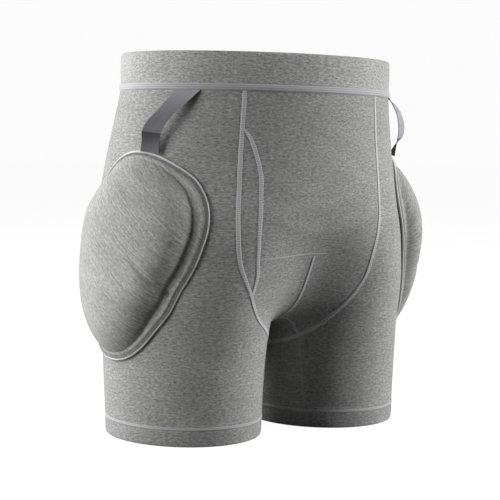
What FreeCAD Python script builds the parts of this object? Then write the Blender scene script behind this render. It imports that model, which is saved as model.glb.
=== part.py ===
import FreeCAD, Part
import math
import os

from FreeCAD import Placement, Rotation, Vector

# Padded impact shorts: a knit boxer-length undergarment with a bulky pocketed pad on each hip and a
# ribbon between the waist seam and each pad.  Millimetres, +Z up, hems standing on Z = 0, front
# towards -Y, the wearer's right towards -X.
#
# The body of the garment is one smooth surface, given by body_field(): zero on the cloth's outer
# face, negative inside the wearer.  Two elliptical leg tubes run up into one elliptical torso.  The
# cut panels are patches of that surface, each a thin closed sheet.  Rigidly shaped bands (waistband,
# elastic, hems, stitching rings, ribbons) are PartDesign bodies.

DIMENSIONS = {
    # body of the garment
    "overall_height": 380.0,
    "waist_half_width": 149.0,
    "waist_half_depth": 115.8,
    "waist_middle": 1.5,
    "hip_half_width": 167.5,
    "hip_half_depth": 124.0,
    "leg_half_width": 77.2,
    "leg_half_depth": 82.2,
    "leg_spacing": 88.0,
    "front_to_middle": 8.5,
    # bands
    "waistband_height": 34.0,
    "elastic_height": 28.0,
    "elastic_thickness": 1.2,
    "waistband_thickness": 3.6,
    "hem_height": 21.0,
    "hem_thickness": 2.2,
    # cloth and sewing
    "cloth": 1.4,
    "cut_gap": 0.3,
    "seam_width": 4.5,
    "seam_proud": 1.0,
    "seam_clear": 0.25,
    "ring_proud": 1.2,
    "ring_height": 5.0,
    "fine_seam_width": 2.2,
    # hip pads
    "pad_proud": 25.0,
    "pad_rim_lift": 6.0,
    "pad_rest": 1.0,
    "pad_cloth": 1.2,
    "piping_diameter": 3.0,
    "thread_diameter": 0.8,
    # ribbons
    "ribbon_width": 19.0,
    "ribbon_thickness": 1.0,
    "ribbon_radius": 34.5,
    "ribbon_swing_angle": 72.0,
    "ribbon_tab_angle": 13.3,
    "ribbon_slit_angle": 2.0,
}

doc = FreeCAD.newDocument("impact_shorts")
sheet = doc.addObject("Spreadsheet::Sheet", "Dimensions")
for line, (alias, value) in enumerate(DIMENSIONS.items(), start=1):
    sheet.set("A%d" % line, alias)
    sheet.set("B%d" % line, str(value))
    sheet.setAlias("B%d" % line, alias)
doc.recompute()


def dim(alias):
    """A driving dimension, read back from the sheet."""
    return float(getattr(sheet, alias))


HEIGHT = dim("overall_height")
BAND_BOTTOM = HEIGHT - dim("waistband_height")
HEM_TOP = dim("hem_height")
CLOTH = dim("cloth")
CUT_GAP = dim("cut_gap")
SEAM_CLEAR = dim("seam_clear")
MIDDLE = Placement(Vector(0, -dim("front_to_middle"), 0), Rotation())
RIGHT, LEFT = -1, 1
SIDES = {"right": RIGHT, "left": LEFT}


# ---------------------------------------------------------------- small vector helpers

def dot(a, b):
    return a[0] * b[0] + a[1] * b[1] + a[2] * b[2]


def cross(a, b):
    return (a[1] * b[2] - a[2] * b[1], a[2] * b[0] - a[0] * b[2], a[0] * b[1] - a[1] * b[0])


def along(point, direction, distance):
    """The point moved by a distance along a direction."""
    return tuple(p + distance * d for p, d in zip(point, direction))


def unit(a):
    length = math.sqrt(dot(a, a))
    return tuple(c / length for c in a)


def mix(a, b, share):
    return a + (b - a) * share


def smooth_step(low, high, x):
    share = min(max((x - low) / (high - low), 0.0), 1.0)
    return share * share * (3 - 2 * share)


class Curve:
    """A smooth curve through hand-set stations: the first number of each is its position."""

    def __init__(self, stations):
        self.at = [row[0] for row in stations]
        self.columns = []
        for k in range(1, len(stations[0])):
            values = [row[k] for row in stations]
            self.columns.append((values, self.slopes(values)))

    def slopes(self, values):
        gaps = [b - a for a, b in zip(self.at, self.at[1:])]
        rises = [(b - a) / gap for a, b, gap in zip(values, values[1:], gaps)]
        inner = []
        for before, after, rise_in, rise_out in zip(gaps, gaps[1:], rises, rises[1:]):
            inner.append((after * rise_in + before * rise_out) / (before + after))
        return [rises[0]] + inner + [rises[-1]]

    def __call__(self, x):
        x = min(max(x, self.at[0]), self.at[-1])
        i = 0
        while i < len(self.at) - 2 and x >= self.at[i + 1]:
            i += 1
        gap = self.at[i + 1] - self.at[i]
        t = (x - self.at[i]) / gap
        start = 2 * t ** 3 - 3 * t ** 2 + 1
        leave = (t ** 3 - 2 * t ** 2 + t) * gap
        arrive = (t ** 3 - t ** 2) * gap
        result = []
        for values, slopes in self.columns:
            ends = start * values[i] + (1 - start) * values[i + 1]
            result.append(ends + leave * slopes[i] + arrive * slopes[i + 1])
        return result if len(result) > 1 else result[0]


# ---------------------------------------------------------------- the body surface

WAIST_W, WAIST_D = dim("waist_half_width"), dim("waist_half_depth")
HIP_W, HIP_D = dim("hip_half_width"), dim("hip_half_depth")
LEG_W, LEG_D, LEG_X = dim("leg_half_width"), dim("leg_half_depth"), dim("leg_spacing")

# height, half width, half depth, how far its middle lies behind the leg openings
TORSO = Curve([
    (180, HIP_W, HIP_D - 1, 8),
    (230, HIP_W - 0.5, HIP_D, 9),
    (270, HIP_W - 5, HIP_D - 2, 8),
    (310, HIP_W - 12, HIP_D - 5.5, 5),
    (BAND_BOTTOM, WAIST_W + 0.5, WAIST_D + 0.2, 2),
    (HEIGHT, WAIST_W - 0.4, WAIST_D - 0.1, 1),
])
# height, distance of the leg's middle from the middle of the garment, half width, half depth, middle
LEG = Curve([
    (0, LEG_X, LEG_W, LEG_D, -1),
    (50, LEG_X, LEG_W + 1.8, LEG_D + 2.3, 0),
    (100, LEG_X - 1.5, LEG_W + 4.8, LEG_D + 8.8, 2),
    (140, LEG_X - 6, LEG_W + 9.3, LEG_D + 18.8, 4),
    (180, LEG_X - 13, LEG_W + 15.3, LEG_D + 29.8, 7),
    (215, LEG_X - 20, LEG_W + 22.3, LEG_D + 36.8, 9),
    (260, LEG_X - 28, LEG_W + 26.8, LEG_D + 36.8, 9),
    (300, LEG_X - 33, LEG_W + 25.8, LEG_D + 34.8, 6),
])
LEGS_APART, CROTCH_FULL = 105, 165
LEG_ROUNDING, CROTCH_ROUNDING = 9, 84
HIP_START, HIP_END = 190, 290


def ellipse_gap(x, y, half_width, half_depth):
    """Roughly the distance of a point outside an ellipse about the origin."""
    size = math.hypot(x / half_width, y / half_depth) + 1e-9
    slope = math.hypot(x / half_width ** 2, y / half_depth ** 2) / size + 1e-9
    return (size - 1) / slope


def body_field(point):
    """Zero on the garment's outer face, negative inside it, about a distance in millimetres."""
    x, y, z = point
    share = smooth_step(HIP_START, HIP_END, z)
    torso = legs = 0.0
    if share > 0:
        half_width, half_depth, middle = TORSO(z)
        torso = ellipse_gap(x, y - middle, half_width, half_depth)
    if share < 1:
        spacing, half_width, half_depth, middle = LEG(z)
        one = ellipse_gap(x - spacing, y - middle, half_width, half_depth)
        other = ellipse_gap(x + spacing, y - middle, half_width, half_depth)
        rise = min(max((z - LEGS_APART) / (CROTCH_FULL - LEGS_APART), 0.0), 1.0)
        rounding = LEG_ROUNDING + CROTCH_ROUNDING * (1 - (1 - rise) ** 3)
        meet = max(rounding - abs(one - other), 0) / rounding
        legs = min(one, other) - meet * meet * rounding / 4
    return mix(legs, torso, share)


def slope_of_field(point, reach=0.1):
    x, y, z = point
    here = body_field(point)
    slope = (
        (body_field((x + reach, y, z)) - here) / reach,
        (body_field((x, y + reach, z)) - here) / reach,
        (body_field((x, y, z + reach)) - here) / reach,
    )
    return here, slope


def outward(point):
    """The cloth's outward direction at a point of the surface."""
    return unit(slope_of_field(point)[1])


def raised(point, distance):
    """A surface point lifted off the cloth (or sunk into it, if negative)."""
    return along(point, outward(point), distance)


def reach_surface(start, direction, first=30.0, pace=8.0):
    """Where a line from inside the garment first comes out of the cloth."""
    direction = unit(direction)
    near = first
    near_value = body_field(along(start, direction, near))
    while True:
        far = near + pace
        far_value = body_field(along(start, direction, far))
        if far_value > 0:
            break
        near, near_value = far, far_value
    for _ in range(30):
        share = min(max(near_value / (near_value - far_value), 0.1), 0.9)
        middle = mix(near, far, share)
        value = body_field(along(start, direction, middle))
        if abs(value) < 1e-5:
            break
        if value > 0:
            far, far_value = middle, value
        else:
            near, near_value = middle, value
    return along(start, direction, middle)


# ---------------------------------------------------------------- the central strip
# The strip runs from the front of the waist down between the legs and up to the back of the waist.
# "row" goes from 0 at the front of the waist to 1 at the back; "off" is the distance from its middle
# line, measured on the cloth.

STRIP_Y, STRIP_Z = 6.0, 190.0
STRIP_TOP = BAND_BOTTOM - CUT_GAP
STRIP_START = -math.atan2(STRIP_TOP - STRIP_Z, STRIP_Y + WAIST_D - 1.8)
STRIP_END = math.pi + math.atan2(STRIP_TOP - STRIP_Z, WAIST_D + 2.2 - STRIP_Y)


def strip_middle(angle):
    return reach_surface((0, STRIP_Y, STRIP_Z), (0, -math.cos(angle), -math.sin(angle)))


def strip_frame(row):
    """The middle point of a row of the strip and the direction in which the strip runs there."""
    angle = mix(STRIP_START, STRIP_END, row)
    middle = strip_middle(angle)
    ahead, behind = strip_middle(angle + 0.01), strip_middle(angle - 0.01)
    run = unit(tuple(a - b for a, b in zip(ahead, behind)))
    upright = (0, 0, -1.0 if middle[1] < 0 else 1.0)
    share = smooth_step(200, 320, middle[2])
    return middle, unit(tuple(mix(r, u, share) for r, u in zip(run, upright)))


def strip_points(row, side, offs, pace=3.0):
    """Points of one row at increasing distances from the middle line, towards one side."""
    point, run = strip_frame(row)
    found = []
    gone = 0.0
    for off in offs:
        while gone < off - 1e-9:
            pace_now = min(pace, off - gone)
            step_out = unit(cross(run, slope_of_field(point)[1]))
            point = along(point, step_out, -side * pace_now)
            for _ in range(2):
                value, slope = slope_of_field(point)
                in_plane = along(slope, run, -dot(slope, run))
                point = along(point, in_plane, -value / dot(in_plane, in_plane))
            gone += pace_now
        found.append(point)
    return found


def strip_point(row, off):
    """One point of the strip; off is negative towards the wearer's right."""
    return strip_points(row, RIGHT if off < 0 else LEFT, [abs(off)])[0]


# row, distance of the sewn edge from the middle line: front of each side, then the shared back half
BACK_EDGE = [(0.45, 26), (0.5, 26), (0.55, 27), (0.6, 30), (0.65, 37), (0.7, 50), (0.75, 66),
             (0.8, 80), (0.85, 89), (0.92, 93), (1.0, 92)]
STRIP_EDGE = {
    RIGHT: Curve([(0, 88), (0.08, 94), (0.15, 98), (0.2, 94), (0.25, 81), (0.3, 66), (0.335, 47),
                  (0.37, 35), (0.4, 30)] + BACK_EDGE),
    LEFT: Curve([(0, 75), (0.06, 80), (0.12, 77), (0.18, 71), (0.24, 66), (0.28, 56), (0.315, 45),
                 (0.345, 38), (0.375, 32), (0.4, 29)] + BACK_EDGE),
}
INSEAM_ROW = 0.38
GUSSET_BACK_ROW = 0.62
POUCH_ROW = 0.192
FLY_START, FLY_END = 0.028, 0.262
# distance of the fly seam from the middle line, towards the wearer's right
FLY_EDGE = Curve([(FLY_START, 89), (0.034, 83.5), (0.04, 80.3), (0.05, 77), (0.068, 73.3), (0.1, 73.5),
                  (0.15, 76), (0.19, 75.5), (0.225, 74), (FLY_END, 77.5)])


def side_edge(side):
    """The sewn edge of the strip on one side, as a signed distance from the middle line."""
    return lambda row: side * STRIP_EDGE[side](row)


def fly_edge(row):
    return -FLY_EDGE(row)


def middle_line(row):
    return 0.0


# ---------------------------------------------------------------- sheets of cloth

def spline_poles(points):
    """The control points of the evenly timed smooth curve through some points."""
    curve = Part.BSplineCurve()
    curve.interpolate(Points=points, Parameters=[float(i) for i in range(len(points))])
    return curve.getPoles()


def spline_surface(grid):
    """A smooth surface through a grid; a border depends only on the points along it."""
    lines = [spline_poles([Vector(*point) for point in line]) for line in grid]
    columns = [spline_poles(list(column)) for column in zip(*lines)]
    poles = [list(line) for line in zip(*columns)]
    knots = [[float(i) for i in range(count)] for count in (len(grid), len(grid[0]))]
    repeats = [[4] + [1] * (len(some) - 2) + [4] for some in knots]
    surface = Part.BSplineSurface()
    surface.buildFromPolesMultsKnots(poles, *repeats, *knots, False, False, 3, 3)
    return surface


def border(surface, which):
    """One border of a surface as a curve: first or last line, first or last column."""
    first_u, last_u, first_v, last_v = surface.bounds()
    if which == "first line":
        return surface.uIso(first_u)
    if which == "last line":
        return surface.uIso(last_u)
    return surface.vIso(first_v if which == "first column" else last_v)


def side_face(outer_border, inner_border):
    """The straight-sided face between matching borders of two surfaces."""
    poles = [outer_border.getPoles(), inner_border.getPoles()]
    repeats, knots = outer_border.getMultiplicities(), outer_border.getKnots()
    surface = Part.BSplineSurface()
    surface.buildFromPolesMultsKnots(poles, [2, 2], repeats, [0.0, 1.0], knots, False, False, 1, 3)
    return surface.toShape()


ALL_BORDERS = ("first line", "last line", "first column", "last column")


def sewn_solid(faces):
    shell = Part.makeShell(faces)
    shell.sewShape()
    if shell.ShapeType != "Shell":
        shell = shell.Shells[0]
    solid = Part.makeSolid(shell)
    if solid.Volume < 0:
        solid.reverse()
    return solid


def sheet_faces(outer_grid, inner_grid, open_borders=()):
    """The faces of a sheet between two grids of points; open borders get no side face."""
    outer, inner = spline_surface(outer_grid), spline_surface(inner_grid)
    faces = [outer.toShape(), inner.toShape()]
    for which in ALL_BORDERS:
        if which not in open_borders:
            faces.append(side_face(border(outer, which), border(inner, which)))
    return faces


def sheet_solid(outer_grid, inner_grid):
    return sewn_solid(sheet_faces(outer_grid, inner_grid))


def lifted(grid, distance):
    return [[raised(point, distance) for point in line] for line in grid]


def cloth_solid(grid, face=0.0, thickness=CLOTH):
    """A sheet of cloth whose outer face lies a little off (or under) the body surface."""
    return sheet_solid(lifted(grid, face), lifted(grid, face - thickness))


def spread(first, last, count):
    return [mix(first, last, i / (count - 1)) for i in range(count)]


def strip_grid(rows, left_edge, right_edge, count):
    """A patch of the strip between two edges, each a function of the row (right is negative)."""
    grid = []
    for row in rows:
        low, high = right_edge(row) + CUT_GAP / 2, left_edge(row) - CUT_GAP / 2
        grid.append([strip_point(row, off) for off in spread(low, high, count)])
    return grid


ROW_LENGTH = 600.0
GAP_ROW = CUT_GAP / 2 / ROW_LENGTH


# ---------------------------------------------------------------- leg panels
# A leg panel wraps round the thigh from the inseam and front seam to the back seam.  Its inner part,
# below the gusset, is a patch of its own, which shares a border with the main one.

INSEAM_TURN = math.radians(220)
INNER_TURN = math.radians(130)


def leg_point(side, height, turn):
    """A point of a leg: the turn is measured from straight out, positive towards the back."""
    spacing, _, _, middle = LEG(height)
    start = (side * spacing, middle, height)
    return reach_surface(start, (side * math.cos(turn), math.sin(turn), 0))


def leg_turn(side, point):
    """The turn at which a surface point lies, between -180 and 180 degrees."""
    spacing, _, _, middle = LEG(point[2])
    return math.atan2(point[1] - middle, side * point[0] - spacing)


def strip_edge_point(side, row):
    """A point just outside the strip's sewn edge."""
    return strip_point(row, side * (STRIP_EDGE[side](row) + CUT_GAP / 2))


def inseam_gap_turn():
    return CUT_GAP / 2 / LEG_W


def inseam_turn_at(side, height):
    """The inseam leaves the gusset's front corner and settles on the inner front of the thigh."""
    corner = strip_edge_point(side, INSEAM_ROW)
    share = smooth_step(HEM_TOP, corner[2], height)
    return mix(INSEAM_TURN - 2 * math.pi, leg_turn(side, corner), share)


HEM_EDGE = HEM_TOP + CUT_GAP
CORNER_SHARE = 0.25


def front_border(side, share):
    """Front border of the leg panel: up the inseam, then up the front seam."""
    if share <= CORNER_SHARE:
        corner = strip_edge_point(side, INSEAM_ROW)
        height = mix(HEM_EDGE, corner[2], share / CORNER_SHARE)
        return height, inseam_turn_at(side, height) + inseam_gap_turn()
    row = INSEAM_ROW * (1 - (share - CORNER_SHARE) / (1 - CORNER_SHARE))
    point = strip_edge_point(side, row)
    return point[2], leg_turn(side, point)


def back_border(side, share):
    """Back border: up the inner thigh to the gusset's back corner, then up the back seam."""
    corner = strip_edge_point(side, GUSSET_BACK_ROW)
    if share <= CORNER_SHARE:
        height = mix(HEM_EDGE, corner[2], share / CORNER_SHARE)
        return height, mix(INNER_TURN, leg_turn(side, corner), share / CORNER_SHARE)
    row = mix(GUSSET_BACK_ROW, 1, (share - CORNER_SHARE) / (1 - CORNER_SHARE))
    point = strip_edge_point(side, row)
    return point[2], leg_turn(side, point)


def leg_main_grid(side, lines=53, count=27):
    grid = []
    for share in spread(0, 1, lines):
        front, back = front_border(side, share), back_border(side, share)
        line = []
        for k in range(count):
            height = mix(front[0], back[0], k / (count - 1))
            line.append(leg_point(side, height, mix(front[1], back[1], k / (count - 1))))
        grid.append(line)
    return grid


def leg_inner_grid(side, lines=14, count=13):
    """The part under the gusset, from the back corner's line round to the inseam."""
    corner_turn = back_border(side, CORNER_SHARE)[1]
    grid = []
    for level in spread(0, 1, lines):
        line = []
        for k in range(count):
            row = mix(GUSSET_BACK_ROW, INSEAM_ROW, k / (count - 1))
            edge = strip_edge_point(side, row)
            height = mix(HEM_EDGE, edge[2], level)
            edge_turn = leg_turn(side, edge) % (2 * math.pi)
            bottom_turn = mix(INNER_TURN, INSEAM_TURN, k / (count - 1))
            turn = mix(bottom_turn, edge_turn, level)
            if k == 0:
                turn = mix(INNER_TURN, corner_turn, level)
            if k == count - 1:
                turn = inseam_turn_at(side, height) + 2 * math.pi - inseam_gap_turn()
            line.append(leg_point(side, height, turn))
        grid.append(line)
    return grid


def leg_panel_solid(side):
    main, inner = leg_main_grid(side), leg_inner_grid(side)
    corner_line = round(CORNER_SHARE * (len(main) - 1))
    faces = []
    # the main patch below and above the corner's height, then the patch under the gusset
    for part, open_borders in (
        (main[:corner_line + 1], ("last line", "last column")),
        (main[corner_line:], ("first line",)),
        (inner, ("first column",)),
    ):
        faces += sheet_faces(part, lifted(part, -CLOTH), open_borders)
    return faces


# ---------------------------------------------------------------- document helpers

def plain_feature(name, shape):
    feature = doc.addObject("Part::Feature", name)
    feature.Label = name
    feature.Shape = shape
    feature.Placement = MIDDLE
    return feature


pieces = {}


def add_piece(name, shape):
    pieces[name] = plain_feature(name, shape)


# ---------------------------------------------------------------- knit panels

def add_panels():
    rows = spread(GAP_ROW, POUCH_ROW - GAP_ROW, 25)

    def upper_right(row):
        """Right border of the front panel: the side seam, then the fly seam from its start."""
        if row < FLY_START:
            return -STRIP_EDGE[RIGHT](row)
        return fly_edge(row)

    add_piece("front_panel", cloth_solid(strip_grid(rows, side_edge(LEFT), upper_right, 21)))
    rows = spread(FLY_START + 0.006, FLY_END - 0.006, 19)
    add_piece("fly_panel", cloth_solid(strip_grid(rows, fly_edge, side_edge(RIGHT), 5)))

    def pouch_right_border(row):
        return fly_edge(row) if row < FLY_END else -STRIP_EDGE[RIGHT](row)

    rows = spread(POUCH_ROW + GAP_ROW, INSEAM_ROW - GAP_ROW, 17)
    right = strip_grid(rows, middle_line, pouch_right_border, 12)
    left = strip_grid(rows, side_edge(LEFT), middle_line, 12)
    add_piece("pouch_panel_right", cloth_solid(right))
    add_piece("pouch_panel_left", cloth_solid(left))
    rows = spread(INSEAM_ROW + GAP_ROW, GUSSET_BACK_ROW - GAP_ROW, 19)
    add_piece("crotch_gusset", cloth_solid(strip_grid(rows, side_edge(LEFT), side_edge(RIGHT), 21)))
    rows = spread(GUSSET_BACK_ROW + GAP_ROW, 1 - GAP_ROW, 27)
    add_piece("back_panel", cloth_solid(strip_grid(rows, side_edge(LEFT), side_edge(RIGHT), 25)))
    for name, side in SIDES.items():
        add_piece("leg_panel_" + name, sewn_solid(leg_panel_solid(side)))


# ---------------------------------------------------------------- sewn seams
# A flat seam is a ribbon of thread that lies over the gap between two panels.

SEAM_WIDTH = dim("seam_width")
FINE_WIDTH = dim("fine_seam_width")
SEAM_PROUD = dim("seam_proud")
ACROSS = (-1, -0.5, 0, 0.5, 1)


def seam_solid(grid):
    return cloth_solid(grid, SEAM_CLEAR + SEAM_PROUD, SEAM_PROUD)


def seam_along(edge, first_row, last_row, width=SEAM_WIDTH, count=41):
    """A seam that runs along the strip at an edge given as a function of the row."""
    grid = []
    for row in spread(first_row, last_row, count):
        off = edge(row)
        grid.append([strip_point(row, off + side * width / 2) for side in ACROSS])
    return seam_solid(grid)


def seam_across(row, first_off, last_off, width, count=15):
    """A seam that runs across the strip at one row."""
    reach = width / 2 / ROW_LENGTH
    grid = []
    for off in spread(first_off, last_off, count):
        grid.append([strip_point(row + side * reach, off) for side in ACROSS])
    return seam_solid(grid)


def inseam_solid(side, count=13):
    top = strip_edge_point(side, INSEAM_ROW)[2] - SEAM_WIDTH
    reach = SEAM_WIDTH / 2 / LEG_W
    grid = []
    for height in spread(HEM_TOP + SEAM_WIDTH, top, count):
        turn = inseam_turn_at(side, height)
        grid.append([leg_point(side, height, turn + step * reach) for step in ACROSS])
    return seam_solid(grid)


SEAM_END = 0.006
FLY_SEAM_ROWS = (0.037, 0.246)
POUCH_SEAM_PAST_MIDDLE = 14.0


def add_seams():
    beside = SEAM_WIDTH / 2 + SEAM_CLEAR
    for name, side in SIDES.items():
        edge = side_edge(side)
        add_piece("front_seam_" + name, seam_along(edge, SEAM_END, INSEAM_ROW - SEAM_END))
        back = seam_along(edge, INSEAM_ROW + SEAM_END, 1 - SEAM_END, count=61)
        add_piece("back_seam_" + name, back)
        add_piece("inseam_" + name, inseam_solid(side))
    add_piece("fly_seam", seam_along(fly_edge, *FLY_SEAM_ROWS, width=SEAM_WIDTH - 0.5, count=27))
    fly_side = fly_edge(POUCH_ROW) + beside
    pouch = seam_across(POUCH_ROW, fly_side, POUCH_SEAM_PAST_MIDDLE, FINE_WIDTH)
    add_piece("pouch_seam", pouch)
    below_pouch = POUCH_ROW + FINE_WIDTH / ROW_LENGTH
    above_gusset = INSEAM_ROW - SEAM_END
    add_piece("centre_seam", seam_along(middle_line, below_pouch, above_gusset, SEAM_WIDTH - 1, 19))
    for name, row in (("front", INSEAM_ROW), ("back", GUSSET_BACK_ROW)):
        right, left = side_edge(RIGHT)(row) + beside, side_edge(LEFT)(row) - beside
        add_piece("gusset_seam_" + name, seam_across(row, right, left, FINE_WIDTH))


# ---------------------------------------------------------------- inner layers of the front

def add_front_lining():
    """A second layer of knit behind the pouch, held in the front seams."""
    rows = spread(0.1, 0.35, 19)

    def lining_edge(side):
        return lambda row: 0.85 * side_edge(side)(row)

    grid = strip_grid(rows, lining_edge(LEFT), lining_edge(RIGHT), 17)
    add_piece("front_lining", cloth_solid(grid, -CLOTH - SEAM_CLEAR, 0.8))


# ---------------------------------------------------------------- oval bands
# Part ellipses need their longer radius first, so an oval deeper than it is wide is turned round.

def oval(name, half_width, half_depth, level, across="0", back="0"):
    """An ellipse whose radii, level and middle are given as expressions of the sheet."""
    ellipse = doc.addObject("Part::Ellipse", name)
    wide = doc_value(half_width) >= doc_value(half_depth)
    turn = Rotation() if wide else Rotation(Vector(0, 0, 1), 90)
    ellipse.Placement = Placement(Vector(), turn)
    major, minor = (half_width, half_depth) if wide else (half_depth, half_width)
    ellipse.MajorRadius, ellipse.MinorRadius = doc_value(major), doc_value(minor)
    ellipse.setExpression("MajorRadius", major)
    ellipse.setExpression("MinorRadius", minor)
    ellipse.setExpression("Placement.Base.x", across)
    ellipse.setExpression("Placement.Base.y", back)
    ellipse.setExpression("Placement.Base.z", level)
    return ellipse


def doc_value(expression):
    return float(sheet.evalExpression(expression))


def oval_body(name, ovals):
    loft = doc.addObject("Part::Loft", name)
    loft.Sections = ovals
    loft.Solid = True
    loft.Ruled = True
    return loft


def band(name, levels, outer, inner):
    """A hollow oval band: outer and inner are (half width, half depth, across, back) at each level."""
    bodies = []
    for word, sizes in (("outside", outer), ("inside", inner)):
        ovals = []
        for k, (level, (half_width, half_depth, across, back)) in enumerate(zip(levels, sizes)):
            oval_name = "%s_%s_%d" % (name, word, k)
            ovals.append(oval(oval_name, half_width, half_depth, level, across, back))
        bodies.append(oval_body("%s_%s" % (name, word), ovals))
    ring = doc.addObject("Part::Cut", name)
    ring.Base, ring.Tool = bodies
    ring.Placement = MIDDLE
    return ring


def shrunk(sizes, by):
    """The same ovals, smaller all round by an expression."""
    smaller = []
    for half_width, half_depth, across, back in sizes:
        smaller.append(("%s - %s" % (half_width, by), "%s - %s" % (half_depth, by), across, back))
    return smaller


D = "Dimensions."
WAIST_OVAL = (D + "waist_half_width", D + "waist_half_depth", "0", D + "waist_middle")


def keep(name, feature):
    feature.Label = name
    pieces[name] = feature


def add_waistband():
    bottom = D + "overall_height - " + D + "waistband_height"
    top = D + "overall_height"
    outer = [WAIST_OVAL, WAIST_OVAL]
    whole = band("waistband_whole", (bottom, top), outer, shrunk(outer, D + "waistband_thickness"))
    whole.Placement = Placement()
    fold = "0.5 * (" + D + "waistband_thickness - " + D + "elastic_thickness)"
    clear = D + "seam_clear / 2"
    pocket_out = shrunk(outer, "(%s - %s)" % (fold, clear))
    pocket_in = shrunk(outer, "(%s + %s + %s)" % (fold, D + "elastic_thickness", clear))
    pocket_top = "%s + %selastic_height + 1" % (bottom, D)
    pocket = band("waistband_pocket", (bottom, pocket_top), pocket_out, pocket_in)
    pocket.Placement = Placement()
    cover = doc.addObject("Part::Cut", "waistband_cover")
    cover.Base, cover.Tool = whole, pocket
    cover.Placement = MIDDLE
    keep("waistband_cover", cover)
    elastic_out = shrunk(outer, fold)
    elastic_in = shrunk(elastic_out, D + "elastic_thickness")
    levels = (bottom + " + 0.5", "%s + %selastic_height" % (bottom, D))
    keep("waistband_elastic", band("waistband_elastic", levels, elastic_out, elastic_in))


def ring_round(name, middle_level, sizes, height, proud):
    """A ring of stitching that stands proud of an oval."""
    levels = ["%s %s %s / 2" % (middle_level, sign, height) for sign in "-+"]
    inner = shrunk([sizes, sizes], "(-%sseam_clear)" % D)
    outer = shrunk([sizes, sizes], "(-%sseam_clear - %s)" % (D, proud))
    keep(name, band(name, levels, outer, inner))


def add_bands():
    add_waistband()
    waist = (D + "waist_half_width + 0.8", D + "waist_half_depth + 0.6", "0", "2")
    bottom = "(%soverall_height - %swaistband_height)" % (D, D)
    ring_round("waist_seam", bottom, waist, D + "ring_height", D + "ring_proud")
    for name, side in SIDES.items():
        across = "%d * %sleg_spacing" % (side, D)
        hem = (D + "leg_half_width", D + "leg_half_depth", across, "-1")
        top = (D + "leg_half_width + 0.6", D + "leg_half_depth + 0.8", across, "-0.6")
        inner = shrunk([hem, top], D + "hem_thickness")
        hem_name = "hem_band_" + name
        keep(hem_name, band(hem_name, ("0", D + "hem_height"), [hem, top], inner))
        ring_height = D + "fine_seam_width"
        stitch = "hem_stitching_" + name
        ring_round(stitch, D + "hem_height", top, ring_height, D + "seam_proud * 0.8")


# ---------------------------------------------------------------- hip pads
# A pad lies on the side of the hip.  "turn" goes round the hip from straight out, positive towards
# the back; a place on the pad is (distance round, height) with the distance taken at PAD_RADIUS.

PAD_AXIS_X, PAD_AXIS_Y, PAD_RADIUS = 40.0, 5.0, 125.0
PAD_MIDDLE = (-19.0, 184.0)
# reach of the pad's outline from its middle, every 30 degrees from straight back, upwards first
PAD_REACH = (82, 77, 80, 97, 98, 97, 78, 68, 77, 101, 106, 98)
PAD_SQUARE = 0.92
PAD_LINES = 21
# how far from the pad's middle to its outline each layer or row of stitches reaches
PAD_FILLING = 0.83
BACKING_SIZE = 0.98
TOPSTITCH_SIZE = 0.965
STITCHING_SIZE = 0.6


def side_point(side, round_off, height):
    """A point of the hip at a distance round from straight out."""
    turn = round_off / PAD_RADIUS
    start = (side * PAD_AXIS_X, PAD_AXIS_Y, height)
    return reach_surface(start, (side * math.cos(turn), math.sin(turn), 0))


def outline_reach(angle):
    count = len(PAD_REACH)
    place = (angle / (2 * math.pi) % 1.0) * count
    first = int(place)
    t = place - first
    before, here, after, beyond = (PAD_REACH[(first + k) % count] for k in (-1, 0, 1, 2))
    bend = (2 * before - 5 * here + 4 * after - beyond) * t ** 2
    twist = (3 * here - before - 3 * after + beyond) * t ** 3
    return 0.5 * (2 * here + (after - before) * t + bend + twist)


def pad_place(u, v):
    """From a square of side 2 to the pad: its middle is (0, 0), its outline the square's border."""
    x = u * math.sqrt(1 - PAD_SQUARE * v * v / 2)
    y = v * math.sqrt(1 - PAD_SQUARE * u * u / 2)
    reach = outline_reach(math.atan2(y, x)) if x or y else 0.0
    return PAD_MIDDLE[0] + x * reach, PAD_MIDDLE[1] + y * reach


def pad_places(size, count=PAD_LINES):
    """Places over the pad, closer together towards its border, with how far out each lies (0 to 1)."""
    ticks = [size * math.sin(math.pi / 2 * t) for t in spread(-1, 1, count)]
    table = []
    for u in ticks:
        table.append([(u, v, u * u + v * v - u * u * v * v) for v in ticks])
    return table


PROUD, RIM_LIFT, REST = dim("pad_proud"), dim("pad_rim_lift"), dim("pad_rest")
PAD_CLOTH = dim("pad_cloth")
LAYER_GAP = 0.5
SOFT_FOAM_SHARE = 0.33
WALL_FOOT = 0.94


def under_backing(out):
    return mix(REST, RIM_LIFT, smooth_step(0.55, 1.0, out))


def over_backing(out):
    return under_backing(out) + PAD_CLOTH


def crown(out):
    """Height of the padded crown, from 1 in the middle to 0 at the foot of its side wall."""
    share = min(math.sqrt(max(out, 0.0)) / WALL_FOOT, 1.0)
    return (1 - share ** 4) ** 0.8


def over_cover(out):
    flat = over_backing(out) + LAYER_GAP + PAD_CLOTH
    return flat + (PROUD - over_backing(0) - LAYER_GAP - PAD_CLOTH) * crown(out)


def under_cover(out):
    return over_cover(out) - PAD_CLOTH


def over_lining(out):
    return mix(over_backing(out), under_cover(out), SOFT_FOAM_SHARE)


def pad_grids(side, size, top, bottom):
    upper, lower = [], []
    for line in pad_places(size):
        upper.append([])
        lower.append([])
        for u, v, out in line:
            point = side_point(side, *pad_place(u, v))
            lift = outward(point)
            upper[-1].append(along(point, lift, top(out)))
            lower[-1].append(along(point, lift, bottom(out)))
    return upper, lower


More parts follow.
